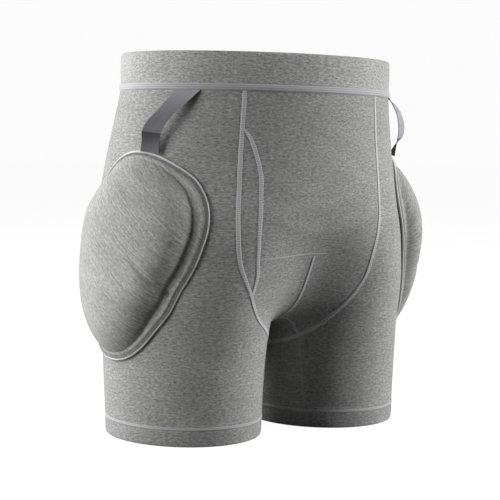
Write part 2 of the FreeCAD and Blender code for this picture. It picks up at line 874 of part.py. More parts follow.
def pad_ring(side, size, lift, diameter, outset=0.0, count=48):
    """A round thread or cord along an outline of the pad, at a height off the hip."""
    centres, lifts = [], []
    for k in range(count):
        angle = 2 * math.pi * k / count
        reach = size * outline_reach(angle) * pad_corner(angle) + outset
        place = (PAD_MIDDLE[0] + reach * math.cos(angle), PAD_MIDDLE[1] + reach * math.sin(angle))
        point = side_point(side, *place)
        lifts.append(outward(point))
        centres.append(along(point, lifts[-1], lift))
    return closed_tube(centres, lifts, diameter / 2)


def closed_tube(centres, lifts, radius, round_count=9):
    """A closed round cord along points, made of four lengths of skin that meet edge to edge."""
    count = len(centres)
    rings = []
    for k in range(count + 1):
        here, lift = centres[k % count], lifts[k % count]
        ahead, behind = centres[(k + 1) % count], centres[k - 1]
        run = unit(tuple(a - b for a, b in zip(ahead, behind)))
        lift = unit(along(lift, run, -dot(lift, run)))
        across = cross(run, lift)
        ring = []
        for turn in spread(0, 2 * math.pi, 2 * round_count - 1):
            ring.append(along(along(here, lift, radius * math.cos(turn)), across, radius * math.sin(turn)))
        rings.append(ring)
    half = count // 2
    faces = []
    for lines in (rings[:half + 1], rings[half:]):
        for columns in (slice(None, round_count), slice(round_count - 1, None)):
            faces.append(spline_surface([ring[columns] for ring in lines]).toShape())
    return sewn_solid(faces)


def pad_corner(angle):
    """How far the square's border lies out at an angle, 1 on its axes."""
    lean = min(abs(math.tan(angle)), abs(1 / math.tan(angle)) if math.sin(angle) else 0.0)
    near = lean
    for _ in range(12):
        near = lean * math.sqrt(1 - PAD_SQUARE * near * near / 2) / math.sqrt(1 - PAD_SQUARE / 2)
    x = math.sqrt(1 - PAD_SQUARE * near * near / 2)
    y = near * math.sqrt(1 - PAD_SQUARE / 2)
    return math.hypot(x, y)


def add_pads():
    thread = dim("thread_diameter")
    for name, side in SIDES.items():
        layers = {
            "pad_cover_": (1.0, over_cover, under_cover),
            "pad_shell_foam_": (PAD_FILLING, lambda out: under_cover(out) - LAYER_GAP,
                                lambda out: over_lining(out) + LAYER_GAP),
            "pad_soft_foam_": (PAD_FILLING, over_lining, lambda out: over_backing(out) + LAYER_GAP),
            "pad_backing_": (BACKING_SIZE, over_backing, under_backing),
        }
        for layer, (size, top, bottom) in layers.items():
            add_piece(layer + name, sheet_solid(*pad_grids(side, size, top, bottom)))
        rim = over_backing(1.0) + LAYER_GAP / 2
        diameter = dim("piping_diameter")
        piping = pad_ring(side, 1.0, rim, diameter, outset=diameter / 2 + LAYER_GAP)
        add_piece("pad_piping_" + name, piping)
        stitch_lift = over_cover(TOPSTITCH_SIZE ** 2) + thread / 2 + LAYER_GAP
        add_piece("pad_topstitching_" + name, pad_ring(side, TOPSTITCH_SIZE, stitch_lift, thread))
        hidden = REST / 2
        add_piece("pad_stitching_" + name, pad_ring(side, STITCHING_SIZE, hidden, thread * 0.75))


# ---------------------------------------------------------------- ribbons
# Each ribbon bows out between the waist seam and the top of the pad, as an arc.  Its two ends are
# sewn down; the stretch between them swings about the line through its ends.

RIBBON_TOP = (-79.0, 340.0)
RIBBON_FOOT = (-41.0, 291.5)
RIBBON_LIFT = 1.4


def ribbon_frame(side):
    """The two ends of a ribbon's line, and the directions along it, outward and across."""
    top = raised(side_point(side, *RIBBON_TOP), RIBBON_LIFT)
    foot = raised(side_point(side, *RIBBON_FOOT), RIBBON_LIFT)
    up = unit(tuple(a - b for a, b in zip(top, foot)))
    halfway = side_point(side, *(mix(a, b, 0.5) for a, b in zip(RIBBON_TOP, RIBBON_FOOT)))
    out = outward(halfway)
    out = unit(along(out, up, -dot(out, up)))
    return top, foot, up, out, cross(out, up)


def ribbon_sector(name, side, first_angle, sweep):
    """A stretch of the ribbon's arc, as a PartDesign body made of one round and one cut."""
    body = doc.addObject("PartDesign::Body", name)
    body.Label = name
    solid = body.newObject("PartDesign::AdditiveCylinder", name + "_outer")
    hollow = body.newObject("PartDesign::SubtractiveCylinder", name + "_inner")
    for cylinder, radius in ((solid, "%sribbon_radius + %sribbon_thickness / 2" % (D, D)),
                             (hollow, "%sribbon_radius - %sribbon_thickness / 2" % (D, D))):
        cylinder.setExpression("Radius", radius)
        cylinder.setExpression("Height", D + "ribbon_width")
        cylinder.setExpression("Angle", sweep)
    top, foot, up, out, across = ribbon_frame(side)
    half_line = math.dist(top, foot) / 2
    inset = math.sqrt(dim("ribbon_radius") ** 2 - half_line ** 2)
    middle = tuple((a + b) / 2 for a, b in zip(top, foot))
    centre = along(along(middle, out, -inset), across, -dim("ribbon_width") / 2)
    turn = Rotation(Vector(*out), Vector(*up), Vector(*across), "XYZ")
    start = Rotation(Vector(0, 0, 1), doc_value(first_angle))
    body.Placement = MIDDLE * Placement(Vector(*centre), turn * start)
    pieces[name] = body


def add_ribbons():
    swing, tab, slit = (D + "ribbon_" + word + "_angle" for word in ("swing", "tab", "slit"))
    for name, side in SIDES.items():
        ribbon_sector("ribbon_" + name, side, "-%s / 2" % swing, swing)
        top_start = "%s / 2 + %s" % (swing, slit)
        ribbon_sector("ribbon_top_tab_" + name, side, top_start, tab)
        ribbon_sector("ribbon_foot_tab_" + name, side, "-(%s + %s)" % (top_start, tab), tab)


# ---------------------------------------------------------------- build, test and write

def check_document():
    doc.recompute()
    for item in doc.Objects:
        troubles = set(item.State) & {"Invalid", "Error"}
        if troubles:
            raise SystemExit("%s is %s" % (item.Name, troubles))
    for name, piece in pieces.items():
        shape = piece.Shape
        if shape.isNull() or not shape.isValid() or shape.Volume <= 0:
            raise SystemExit("%s has no valid solid" % name)


def write_parts():
    os.makedirs("parts", exist_ok=True)
    for name, piece in pieces.items():
        piece.Shape.exportStep("parts/%s.step" % name)


def print_summary():
    box = FreeCAD.BoundBox()
    for name, piece in pieces.items():
        box.add(piece.Shape.BoundBox)
        print("%-26s %9.0f mm3 %3d solids" % (name, piece.Shape.Volume, len(piece.Shape.Solids)))
    print(len(pieces), "pieces", box)


add_panels()
add_seams()
add_front_lining()
add_bands()
add_pads()
add_ribbons()
check_document()
write_parts()
print_summary()
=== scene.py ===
import math

import bpy
import numpy as np
from mathutils import Matrix, Vector


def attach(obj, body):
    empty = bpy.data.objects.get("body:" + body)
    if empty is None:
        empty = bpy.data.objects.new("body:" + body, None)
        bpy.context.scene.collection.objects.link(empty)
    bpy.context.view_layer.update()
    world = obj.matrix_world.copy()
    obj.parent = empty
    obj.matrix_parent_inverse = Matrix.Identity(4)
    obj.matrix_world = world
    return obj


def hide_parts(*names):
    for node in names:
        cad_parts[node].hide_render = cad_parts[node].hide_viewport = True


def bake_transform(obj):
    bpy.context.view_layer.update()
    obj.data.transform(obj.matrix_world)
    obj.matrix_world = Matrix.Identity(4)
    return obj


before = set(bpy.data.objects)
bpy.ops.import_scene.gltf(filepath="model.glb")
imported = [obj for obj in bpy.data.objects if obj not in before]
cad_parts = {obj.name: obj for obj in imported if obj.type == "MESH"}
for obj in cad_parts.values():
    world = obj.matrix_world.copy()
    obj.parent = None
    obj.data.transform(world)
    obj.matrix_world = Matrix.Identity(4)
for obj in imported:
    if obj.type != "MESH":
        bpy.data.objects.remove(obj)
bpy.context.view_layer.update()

scene = bpy.context.scene
SHORTS = "shorts"
RIGHT, LEFT = -1, 1
SIDES = {"right": RIGHT, "left": LEFT}

# Garment sizes in millimetres, in the garment's own axes: hems on z = 0, front towards -Y.  The
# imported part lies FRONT_TO_MIDDLE further forward, and every mesh is moved there as it is made.
FRONT_TO_MIDDLE = 8.5
HEM_TOP = 21.0
CLOTH = 1.4


def smooth_step(low, high, x):
    share = np.clip((np.asarray(x, float) - low) / (high - low), 0.0, 1.0)
    return share * share * (3 - 2 * share)


def mix(a, b, share):
    return a + (b - a) * share


def bell(x, height, middle, spread):
    return height * np.exp(-((x - middle) / spread) ** 2)


def unit(a):
    return a / np.linalg.norm(a, axis=-1, keepdims=True)


def dot(a, b):
    return np.sum(a * b, axis=-1, keepdims=True)


def curve(stations):
    """A smooth curve through stations, as a function from positions to one array per column."""
    table = np.array(stations, float)
    at, columns = table[:, 0], table[:, 1:]
    gaps = np.diff(at)
    rises = np.diff(columns, axis=0) / gaps[:, None]
    before, after = gaps[:-1, None], gaps[1:, None]
    inner = (after * rises[:-1] + before * rises[1:]) / (before + after)
    slopes = np.concatenate([rises[:1], inner, rises[-1:]])

    def read(x):
        x = np.clip(np.asarray(x, float), at[0], at[-1])
        i = np.clip(np.searchsorted(at, x, side="right") - 1, 0, len(at) - 2)
        gap = gaps[i][..., None]
        t = ((x - at[i]) / gaps[i])[..., None]
        start = 2 * t ** 3 - 3 * t ** 2 + 1
        leave = (t ** 3 - 2 * t ** 2 + t) * gap
        arrive = (t ** 3 - t ** 2) * gap
        found = start * columns[i] + (1 - start) * columns[i + 1]
        found = found + leave * slopes[i] + arrive * slopes[i + 1]
        return [found[..., k] for k in range(columns.shape[1])]

    return read


# -------------------- the body surface

# height, half width, half depth, how far its middle lies behind the leg openings
TORSO = curve([
    (180, 167.5, 123, 8), (230, 167, 124, 9), (270, 162.5, 122, 8), (310, 155.5, 118.5, 5),
    (346, 149.5, 116, 2), (380, 148.6, 115.7, 1),
])
# height, distance of the leg's middle from the garment's, half width, half depth, middle
LEG = curve([
    (0, 88, 77.2, 82.2, -1), (50, 88, 79, 84.5, 0), (100, 86.5, 82, 91, 2), (140, 82, 86.5, 101, 4),
    (180, 75, 92.5, 112, 7), (215, 68, 99.5, 119, 9), (260, 60, 104, 119, 9), (300, 55, 103, 117, 6),
])

# the two legs run into each other over this distance, which grows with height from the crotch up
LEGS_ROUNDING, LEGS_ROUNDING_GROWTH = 9, 84
CROTCH_LOW, CROTCH_RISE = 105, 60
# the heights between which the legs turn into the torso
LEGS_TOP, TORSO_BOTTOM = 190, 290
# how far from its start a line is searched for the cloth, and how finely the place is then halved
SEARCH = np.arange(30.0, 262.0, 8.0)
SEARCH_HALVINGS = 22
SEARCH_BATCH = 4000


def ellipse_gap(x, y, half_width, half_depth):
    size = np.hypot(x / half_width, y / half_depth) + 1e-9
    slope = np.hypot(x / half_width ** 2, y / half_depth ** 2) / size + 1e-9
    return (size - 1) / slope


def body_field(p):
    """Zero on the garment's outer face, negative inside it."""
    x, y, z = p[..., 0], p[..., 1], p[..., 2]
    half_width, half_depth, middle = TORSO(z)
    torso = ellipse_gap(x, y - middle, half_width, half_depth)
    spacing, half_width, half_depth, middle = LEG(z)
    one = ellipse_gap(x - spacing, y - middle, half_width, half_depth)
    other = ellipse_gap(x + spacing, y - middle, half_width, half_depth)
    rise = np.clip((z - CROTCH_LOW) / CROTCH_RISE, 0, 1)
    rounding = LEGS_ROUNDING + LEGS_ROUNDING_GROWTH * (1 - (1 - rise) ** 3)
    meet = np.maximum(rounding - np.abs(one - other), 0) / rounding
    legs = np.minimum(one, other) - meet * meet * rounding / 4
    return mix(legs, torso, smooth_step(LEGS_TOP, TORSO_BOTTOM, z))


def slope_of_field(p, reach=0.1):
    here = body_field(p)
    parts = []
    for k in range(3):
        step = np.zeros(3)
        step[k] = reach
        parts.append((body_field(p + step) - here) / reach)
    return here, np.stack(parts, axis=-1)


def outward(p):
    return unit(slope_of_field(p)[1])


def reach_surface(start, way):
    """Where lines from inside the garment first come out of the cloth."""
    start, way = np.broadcast_arrays(np.asarray(start, float), unit(np.asarray(way, float)))
    shape = start.shape
    start, way = start.reshape(-1, 3), way.reshape(-1, 3)
    found = np.empty(len(start))
    for first in range(0, len(start), SEARCH_BATCH):
        batch = slice(first, first + SEARCH_BATCH)
        a, w = start[batch], way[batch]
        values = body_field(a[:, None] + w[:, None] * SEARCH[None, :, None])
        k = np.argmax(values > 0, axis=1)
        low, high = SEARCH[k - 1], SEARCH[k]
        for _ in range(SEARCH_HALVINGS):
            middle = (low + high) / 2
            inside = body_field(a + w * middle[:, None]) <= 0
            low, high = np.where(inside, middle, low), np.where(inside, high, middle)
        found[batch] = (low + high) / 2
    return (start + way * found[:, None]).reshape(shape)


# -------------------- the central strip
# "row" runs from 0 at the front of the waist, between the legs, to 1 at the back of the waist;
# "off" is the distance from the strip's middle line on the cloth, negative to the wearer's right.

# the rows turn about an axis inside, and the waist lies this far in front of it and behind it
STRIP_Y, STRIP_Z, STRIP_TOP = 6.0, 190.0, 345.7
WAIST_FRONT, WAIST_BACK = 120.0, 112.0
STRIP_START = -math.atan2(STRIP_TOP - STRIP_Z, WAIST_FRONT)
STRIP_END = math.pi + math.atan2(STRIP_TOP - STRIP_Z, WAIST_BACK)
# the turn that a row's direction is measured over
ROW_TURN = 0.01
# (row, off) along the seams on each side of the strip, and along the fly's inner edge
BACK_EDGE = [(0.45, 26), (0.5, 26), (0.55, 27), (0.6, 30), (0.65, 37), (0.7, 50), (0.75, 66),
             (0.8, 80), (0.85, 89), (0.92, 93), (1.0, 92)]
STRIP_EDGE = {
    RIGHT: curve([(0, 88), (0.08, 94), (0.15, 98), (0.2, 94), (0.25, 81), (0.3, 66), (0.335, 47),
                  (0.37, 35), (0.4, 30)] + BACK_EDGE),
    LEFT: curve([(0, 75), (0.06, 80), (0.12, 77), (0.18, 71), (0.24, 66), (0.28, 56), (0.315, 45),
                 (0.345, 38), (0.375, 32), (0.4, 29)] + BACK_EDGE),
}
FLY = curve([(0.028, 89), (0.034, 83.5), (0.04, 80.3), (0.05, 77), (0.068, 73.3), (0.1, 73.5),
             (0.15, 76), (0.19, 75.5), (0.225, 74), (0.262, 77.5)])
INSEAM_ROW, GUSSET_BACK_ROW, POUCH_ROW = 0.38, 0.62, 0.192
FLY_START, FLY_END = 0.028, 0.262


def side_edge(side):
    return lambda row: side * STRIP_EDGE[side](row)[0]


def fly_edge(row):
    return -FLY(row)[0]


def middle_line(row):
    return np.zeros_like(np.asarray(row, float))


def strip_middle(angle):
    way = np.stack([0 * angle, -np.cos(angle), -np.sin(angle)], axis=-1)
    return reach_surface((0, STRIP_Y, STRIP_Z), way)


ROWS = np.linspace(0, 1, 500)
ROW_MIDDLES = strip_middle(mix(STRIP_START, STRIP_END, ROWS))
LENGTHS = np.concatenate([[0.0], np.cumsum(np.linalg.norm(np.diff(ROW_MIDDLES, axis=0), axis=1))])


def length_to(row):
    """Distance down the strip's middle line from the waist to a row."""
    return np.interp(row, ROWS, LENGTHS)


def even_rows(first, last, count):
    """Rows at even distances along the cloth."""
    return np.interp(np.linspace(length_to(first), length_to(last), count), LENGTHS, ROWS)


def strip_frame(row):
    """A row's middle point and the direction across the row, which is upright near the waist."""
    angle = mix(STRIP_START, STRIP_END, row)
    middle = strip_middle(angle)
    run = unit(strip_middle(angle + ROW_TURN) - strip_middle(angle - ROW_TURN))
    upright = np.zeros_like(run)
    upright[..., 2] = np.where(middle[..., 1] < 0, -1.0, 1.0)
    share = smooth_step(200, 320, middle[..., 2])[..., None]
    return middle, unit(mix(run, upright, share))


def strip(rows, offs, pace=3.0):
    """Surface points at each row (one per line) and each off (an array of lines and columns)."""
    offs = np.asarray(offs, float)
    middle, run = strip_frame(rows)
    steps = int(np.ceil(np.abs(offs).max() / pace)) + 1
    found = np.empty(offs.shape + (3,))
    for side in (RIGHT, LEFT):
        track = [middle]
        point = middle
        for _ in range(steps):
            point = point + unit(np.cross(run, slope_of_field(point)[1])) * (-side * pace)
            point = settle(point, run)
            track.append(point)
        track = np.stack(track, axis=1)
        place = np.abs(offs) / pace
        k = np.minimum(place.astype(int), steps - 1)
        line = np.arange(len(rows))[:, None]
        between = mix(track[line, k], track[line, k + 1], (place - k)[..., None])
        mine = (offs < 0) if side < 0 else (offs >= 0)
        found[mine] = between[mine]
    run = np.broadcast_to(run[:, None], found.shape)
    return settle(found, run)


def settle(point, run):
    """Puts points back on the surface without leaving their row."""
    for _ in range(2):
        value, slope = slope_of_field(point)
        in_plane = slope - run * dot(slope, run)
        point = point - in_plane * (value[..., None] / dot(in_plane, in_plane))
    return point


# -------------------- legs and hips

# turns round a leg's own middle at the hem: the inseam, and the line under the gusset's back corner
INSEAM_TURN = math.radians(220)
INNER_TURN = math.radians(130)
# the share of a leg panel's lines that lie below the gusset
CORNER_SHARE = 0.25
# the radius that turns angles round a leg into distances
LEG_ROUND = 85.0


def leg_point(side, height, turn):
    spacing, _, _, middle = LEG(height)
    start = np.stack([side * spacing, middle, height + 0 * spacing], axis=-1)
    return reach_surface(start, np.stack([side * np.cos(turn), np.sin(turn), 0 * turn], axis=-1))


def leg_turn(side, point):
    spacing, _, _, middle = LEG(point[..., 2])
    return np.arctan2(point[..., 1] - middle, side * point[..., 0] - spacing)


def strip_edge_points(side, rows):
    rows = np.atleast_1d(rows)
    return strip(rows, side_edge(side)(rows)[:, None])[:, 0]


def inseam_turn_at(side, height):
    corner = strip_edge_points(side, INSEAM_ROW)[0]
    share = smooth_step(HEM_TOP, corner[2], height)
    return mix(INSEAM_TURN - 2 * math.pi, float(leg_turn(side, corner)), share)


def leg_main_grid(side, lines=150, count=96):
    """The leg panel from the inseam and front seam round to the back seam, with its turns."""
    share = np.linspace(0, 1, lines)
    low, high = share[share <= CORNER_SHARE], share[share > CORNER_SHARE]
    climb = (high - CORNER_SHARE) / (1 - CORNER_SHARE)
    front_corner = strip_edge_points(side, INSEAM_ROW)[0]
    back_corner = strip_edge_points(side, GUSSET_BACK_ROW)[0]
    front_up = strip_edge_points(side, INSEAM_ROW * (1 - climb))
    back_up = strip_edge_points(side, mix(GUSSET_BACK_ROW, 1, climb))
    front_height = mix(HEM_TOP, front_corner[2], low / CORNER_SHARE)
    front = [np.concatenate([front_height, front_up[:, 2]]),
             np.concatenate([inseam_turn_at(side, front_height), leg_turn(side, front_up)])]
    back = [np.concatenate([mix(HEM_TOP, back_corner[2], low / CORNER_SHARE), back_up[:, 2]]),
            np.concatenate([mix(INNER_TURN, float(leg_turn(side, back_corner)), low / CORNER_SHARE),
                            leg_turn(side, back_up)])]
    across = np.linspace(0, 1, count)
    height, turn = (mix(a[:, None], b[:, None], across) for a, b in zip(front, back))
    return leg_point(side, height, turn), height, turn


def leg_inner_grid(side, lines=60, count=50):
    """The part of the leg panel under the gusset."""
    back_corner = strip_edge_points(side, GUSSET_BACK_ROW)[0]
    corner_turn = float(leg_turn(side, back_corner))
    share = np.linspace(0, 1, count)
    edge = strip_edge_points(side, mix(GUSSET_BACK_ROW, INSEAM_ROW, share))
    level = np.linspace(0, 1, lines)[:, None]
    height = mix(HEM_TOP, edge[:, 2], level)
    edge_turn = leg_turn(side, edge) % (2 * math.pi)
    turn = mix(mix(INNER_TURN, INSEAM_TURN, share), edge_turn, level)
    turn[:, 0] = mix(INNER_TURN, corner_turn, level[:, 0])
    turn[:, -1] = inseam_turn_at(side, height[:, -1]) + 2 * math.pi
    return leg_point(side, height, turn), height, turn


# places on a hip are (distance round an upright axis, height), with the distance growing backwards
PAD_AXIS_X, PAD_AXIS_Y, PAD_RADIUS = 40.0, 5.0, 125.0
PAD_MIDDLE = (-19.0, 184.0)
# reach of the pad's outline from its middle, every 30 degrees from the back upwards
PAD_REACH = np.array((82, 77, 80, 97, 98, 97, 78, 68, 77, 101, 106, 98), float)
# 1 leaves the outline as its reaches give it, 0 would draw it out to a square
PAD_SQUARE = 0.92
SQUARE_ROUNDS = 12


def side_point(side, round_off, height):
    turn = np.asarray(round_off, float) / PAD_RADIUS
    start = np.stack([0 * turn + side * PAD_AXIS_X, 0 * turn + PAD_AXIS_Y, 0 * turn + height], axis=-1)
    return reach_surface(start, np.stack([side * np.cos(turn), np.sin(turn), 0 * turn], axis=-1))


def outline_reach(angle):
    """Reach of the pad's outline from its middle, drawn out a little at its corners."""
    count = len(PAD_REACH)
    place = (np.asarray(angle) / (2 * math.pi) % 1.0) * count
    first = place.astype(int)
    t = place - first
    before, here, after, beyond = (PAD_REACH[(first + k) % count] for k in (-1, 0, 1, 2))
    bend = (2 * before - 5 * here + 4 * after - beyond) * t ** 2
    twist = (3 * here - before - 3 * after + beyond) * t ** 3
    reach = 0.5 * (2 * here + (after - before) * t + bend + twist)
    slope = np.abs(np.tan(angle))
    lean = np.minimum(slope, 1 / np.maximum(slope, 1e-6))
    near = lean
    for _ in range(SQUARE_ROUNDS):
        near = lean * np.sqrt(1 - PAD_SQUARE * near * near / 2) / math.sqrt(1 - PAD_SQUARE / 2)
    x = np.sqrt(1 - PAD_SQUARE * near * near / 2)
    return reach * np.hypot(x, near * math.sqrt(1 - PAD_SQUARE / 2))


def pad_place(share, angle, outset=0.0):
    """(distance round, height) of a place on the pad: share is 0 at its middle, 1 at its outline."""
    reach = share * outline_reach(angle) + outset
    return PAD_MIDDLE[0] + reach * np.cos(angle), PAD_MIDDLE[1] + reach * np.sin(angle)


# -------------------- folds of the cloth

# heights in millimetres: broad and fine waves over the legs, and two drag lines across the front
BROAD_WAVE, FINE_WAVE = 0.35, 0.25
# each drag line's height off the cloth, height above the hems and spread
LOW_DRAG, HIGH_DRAG = (0.8, 205, 9), (0.5, 232, 6)


def ripple(p):
    """How far the worn cloth stands off its smooth shape, in millimetres."""
    x, y, z = p[..., 0], p[..., 1], p[..., 2]
    aside = np.abs(x)
    waves = BROAD_WAVE * np.sin(z / 23 + 0.8 * np.sin(x / 41 + y / 57) + 0.6)
    waves = waves + FINE_WAVE * np.sin(z / 13.5 + 1.1 * np.sin(x / 33 - y / 49 + 1.3) + x / 71)
    waves = waves * smooth_step(330, 250, z) * smooth_step(28, 70, z)
    drag = bell(z - 0.25 * aside, *LOW_DRAG) * smooth_step(95, 40, aside)
    drag = drag + bell(z - 0.1 * x, *HIGH_DRAG) * smooth_step(80, 30, aside)
    return waves + drag * smooth_step(20, -70, y)


def on_cloth(points, lift=0.0):
    """Surface points moved out with the cloth's folds and a lift."""
    return points + outward(points) * (ripple(points) + lift)[..., None]


def placed(points):
    """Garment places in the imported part's metres."""
    moved = np.asarray(points, float) / 1000.0
    moved[..., 1] -= FRONT_TO_MIDDLE / 1000.0
    return moved


# -------------------- mesh making

def build_mesh(name, vertices, faces, uvs):
    mesh = bpy.data.meshes.new(name)
    mesh.from_pydata(placed(vertices).tolist(), [], faces)
    mesh.validate()
    layer = mesh.uv_layers.new(name="cloth")
    index = np.empty(len(mesh.loops), int)
    mesh.loops.foreach_get("vertex_index", index)
    layer.data.foreach_set("uv", (np.asarray(uvs, np.float32) / 1000.0)[index].ravel())
    mesh.polygons.foreach_set("use_smooth", [True] * len(mesh.polygons))
    piece = bpy.data.objects.new(name, mesh)
    scene.collection.objects.link(piece)
    return piece


def grid_faces(lines, count, first=0, closed_lines=False, closed_count=False, flip=False):
    faces = []
    for i in range(lines if closed_lines else lines - 1):
        for k in range(count if closed_count else count - 1):
            a, b = first + i * count + k, first + i * count + (k + 1) % count
            c = first + ((i + 1) % lines) * count + (k + 1) % count
            d = first + ((i + 1) % lines) * count + k
            faces.append((d, c, b, a) if flip else (a, b, c, d))
    return faces


def grid_piece(name, grid, uv, flip=False, closed_count=False, closed_lines=False):
    lines, count = grid.shape[:2]
    faces = grid_faces(lines, count, 0, closed_lines, closed_count, flip)
    return build_mesh(name, grid.reshape(-1, 3), faces, uv.reshape(-1, 2))


def spread(a, b):
    """Texture coordinates from two arrays that broadcast to one grid."""
    return np.stack(np.broadcast_arrays(a, b), axis=-1)


def thicken(piece, thickness):
    """Gives a sheet its thickness, inwards, with a crisp rim."""
    mesh = piece.data
    edge_of = np.empty(len(mesh.loops), int)
    mesh.loops.foreach_get("edge_index", edge_of)
    mesh.edges.foreach_set("use_edge_sharp", np.bincount(edge_of, minlength=len(mesh.edges)) == 1)
    solid = piece.modifiers.new("thickness", "SOLIDIFY")
    solid.thickness = thickness / 1000.0
    solid.offset = -1.0
    solid.use_even_offset = True
    return piece


def faces_outward(grid):
    """True if the grid's faces (line by line, column by column) look away from the garment."""
    i, k = grid.shape[0] // 2, grid.shape[1] // 2
    normal = np.cross(grid[i, k + 1] - grid[i, k], grid[i + 1, k] - grid[i, k])
    return float(np.dot(normal, outward(grid[i, k]))) > 0


def cloth_piece(name, grid, uv, thickness=CLOTH, lift=0.0):
    flip = not faces_outward(grid)
    return thicken(grid_piece(name, on_cloth(grid, lift), uv, flip), thickness)


# -------------------- materials

# a wave texture of this scale has one band to each unit of its vector
WAVE_SCALE = 0.314


class Look:
    """A material with its nodes, made a node at a time."""

    def __init__(self, name, roughness, sheen=0.0, specular=0.2):
        self.material = bpy.data.materials.new(name)
        self.material.use_nodes = True
        self.tree = self.material.node_tree
        self.shader = self.tree.nodes["Principled BSDF"]
        self.shader.inputs["Roughness"].default_value = roughness
        self.shader.inputs["Specular IOR Level"].default_value = specular
        self.shader.inputs["Sheen Weight"].default_value = sheen
        self.shader.inputs["Sheen Roughness"].default_value = 0.6

    def node(self, kind, values=(), **settings):
        made = self.tree.nodes.new("ShaderNode" + kind)
        for key, value in settings.items():
            setattr(made, key, value)
        for key, value in dict(values).items():
            if isinstance(value, bpy.types.NodeSocket):
                self.tree.links.new(value, made.inputs[key])
            else:
                made.inputs[key].default_value = value
        return made

    def link(self, socket, name):
        self.tree.links.new(socket, self.shader.inputs[name])

    def place(self, scale):
        """The cloth's own coordinates, scaled."""
        uv = self.node("UVMap", uv_map="cloth").outputs["UV"]
        return self.node("Mapping", {"Vector": uv, "Scale": scale}).outputs["Vector"]

    def noise(self, vector, detail=2.0, roughness=0.5):
        values = {"Vector": vector, "Scale": 1.0, "Detail": detail, "Roughness": roughness}
        return self.node("TexNoise", values).outputs["Fac"]

    def bands(self, vector, axis, distortion, detail=2.0, detail_scale=1.0):
        values = {"Vector": vector, "Scale": WAVE_SCALE, "Distortion": distortion,
                  "Detail": detail, "Detail Scale": detail_scale}
        return self.node("TexWave", values, wave_type="BANDS", bands_direction=axis).outputs["Fac"]

    def ramp(self, fac, stops):
        """Colours, or greys, at stops along a value."""
        made = self.node("ValToRGB", {"Fac": fac})
        ramp = made.color_ramp
        while len(ramp.elements) < len(stops):
            ramp.elements.new(0.5)
        for element, (position, grey) in zip(ramp.elements, stops):
            element.position = position
            element.color = (*np.broadcast_to(grey, 3).tolist(), 1.0)
        return made.outputs["Color"]

    def math(self, operation, a, b):
        return self.node("Math", {0: a, 1: b}, operation=operation).outputs["Value"]

    def sum(self, a, share_a, b, share_b):
        return self.math("ADD", self.math("MULTIPLY", a, share_a), self.math("MULTIPLY", b, share_b))

    def multiply(self, a, b):
        made = self.node("Mix", {0: 1.0, 6: a, 7: b}, data_type="RGBA", blend_type="MULTIPLY")
        return made.outputs[2]

    def bump(self, height, strength, distance):
        values = {"Height": height, "Strength": strength, "Distance": distance}
        self.link(self.node("Bump", values).outputs["Normal"], "Normal")


def knit(name, colour, contrast=1.0, drawn=0.05, wale=1.25, streak=(220, 520, 1)):
    """Heather jersey: pale and dark fibres in short streaks along the courses, and fine wales."""
    look = Look(name, 0.93, sheen=0.12, specular=0.12)
    streaks = look.noise(look.place(streak), 3.0, 0.6)
    flecks = look.noise(look.place((streak[0] * 1.9, streak[1] * 1.5, 1)), 1.0)
    clouds = look.noise(look.place((26, 60, 1)), 2.0)
    lines = look.noise(look.place((30, 560, 1)), 1.0)
    base = np.array(colour)
    mixed = look.sum(streaks, 0.62, flecks, 0.38)
    body = look.ramp(mixed, [(0.36, base * (1 - 0.38 * contrast)), (0.5, base),
                             (0.64, base * (1 + 0.42 * contrast))])
    for pattern, depth in ((clouds, 0.07), (lines, drawn)):
        body = look.multiply(body, look.ramp(pattern, [(0.3, 1 - depth), (0.7, 1 + depth)]))
    look.link(body, "Base Color")
    stitch = look.place((1000 / wale, 1000 / (wale * 0.8), 1))
    wales, courses = look.bands(stitch, "X", 0.6, detail=1.0), look.bands(stitch, "Y", 0.9, detail=1.0)
    height = look.math("ADD", look.math("MULTIPLY", wales, courses), look.math("MULTIPLY", mixed, 1.2))
    look.bump(height, 0.5, 0.00035)
    return look.material


def thread(name, colour, pitch=2.2, contrast=0.2):
    """Soft thread of a flat seam: slanted stitches side by side along its run."""
    look = Look(name, 0.8, sheen=0.15, specular=0.2)
    ribs = look.bands(look.place((1000 / pitch, 1000 / pitch, 1)), "Y", 0.8, detail=1.0, detail_scale=2.0)
    fibres = look.noise(look.place((1400, 700, 1)), 2.0)
    base = np.array(colour)
    mixed = look.sum(ribs, 0.5, fibres, 0.5)
    look.link(look.ramp(mixed, [(0.2, base * (1 - contrast)), (0.8, base * (1 + contrast))]), "Base Color")
    look.bump(mixed, 0.5, 0.0004)
    return look.material


def webbing(name, colour, pitch=0.7):
    """Fine woven tape."""
    look = Look(name, 0.6, sheen=0.1, specular=0.35)
    place = look.place((1000 / pitch, 1000 / pitch, 1))
    across, along = (look.bands(place, axis, 0.3) for axis in "XY")
    cloud = look.noise(look.place((300, 90, 1)), 3.0)
    base = np.array(colour)
    mixed = look.math("ADD", look.sum(across, 0.3, along, 0.3), look.math("MULTIPLY", cloud, 0.4))
    look.link(look.ramp(mixed, [(0.2, base * 0.75), (0.8, base * 1.25)]), "Base Color")
    look.bump(mixed, 0.4, 0.0003)
    return look.material


def elastic(name, colour, ribs):
    """Ribbed elastic, read from the piece's own position."""
    look = Look(name, 0.9)
    where = look.node("TexCoord").outputs["Object"]
    place = look.node("Mapping", {"Vector": where, "Scale": ribs}).outputs["Vector"]
    cells = look.node("TexVoronoi", {"Vector": place, "Scale": 1.0}).outputs["Distance"]
    base = np.array(colour)
    look.link(look.ramp(cells, [(0.0, base * 0.75), (0.8, base * 1.2)]), "Base Color")
    look.bump(cells, 0.6, 0.0006)
    return look.material


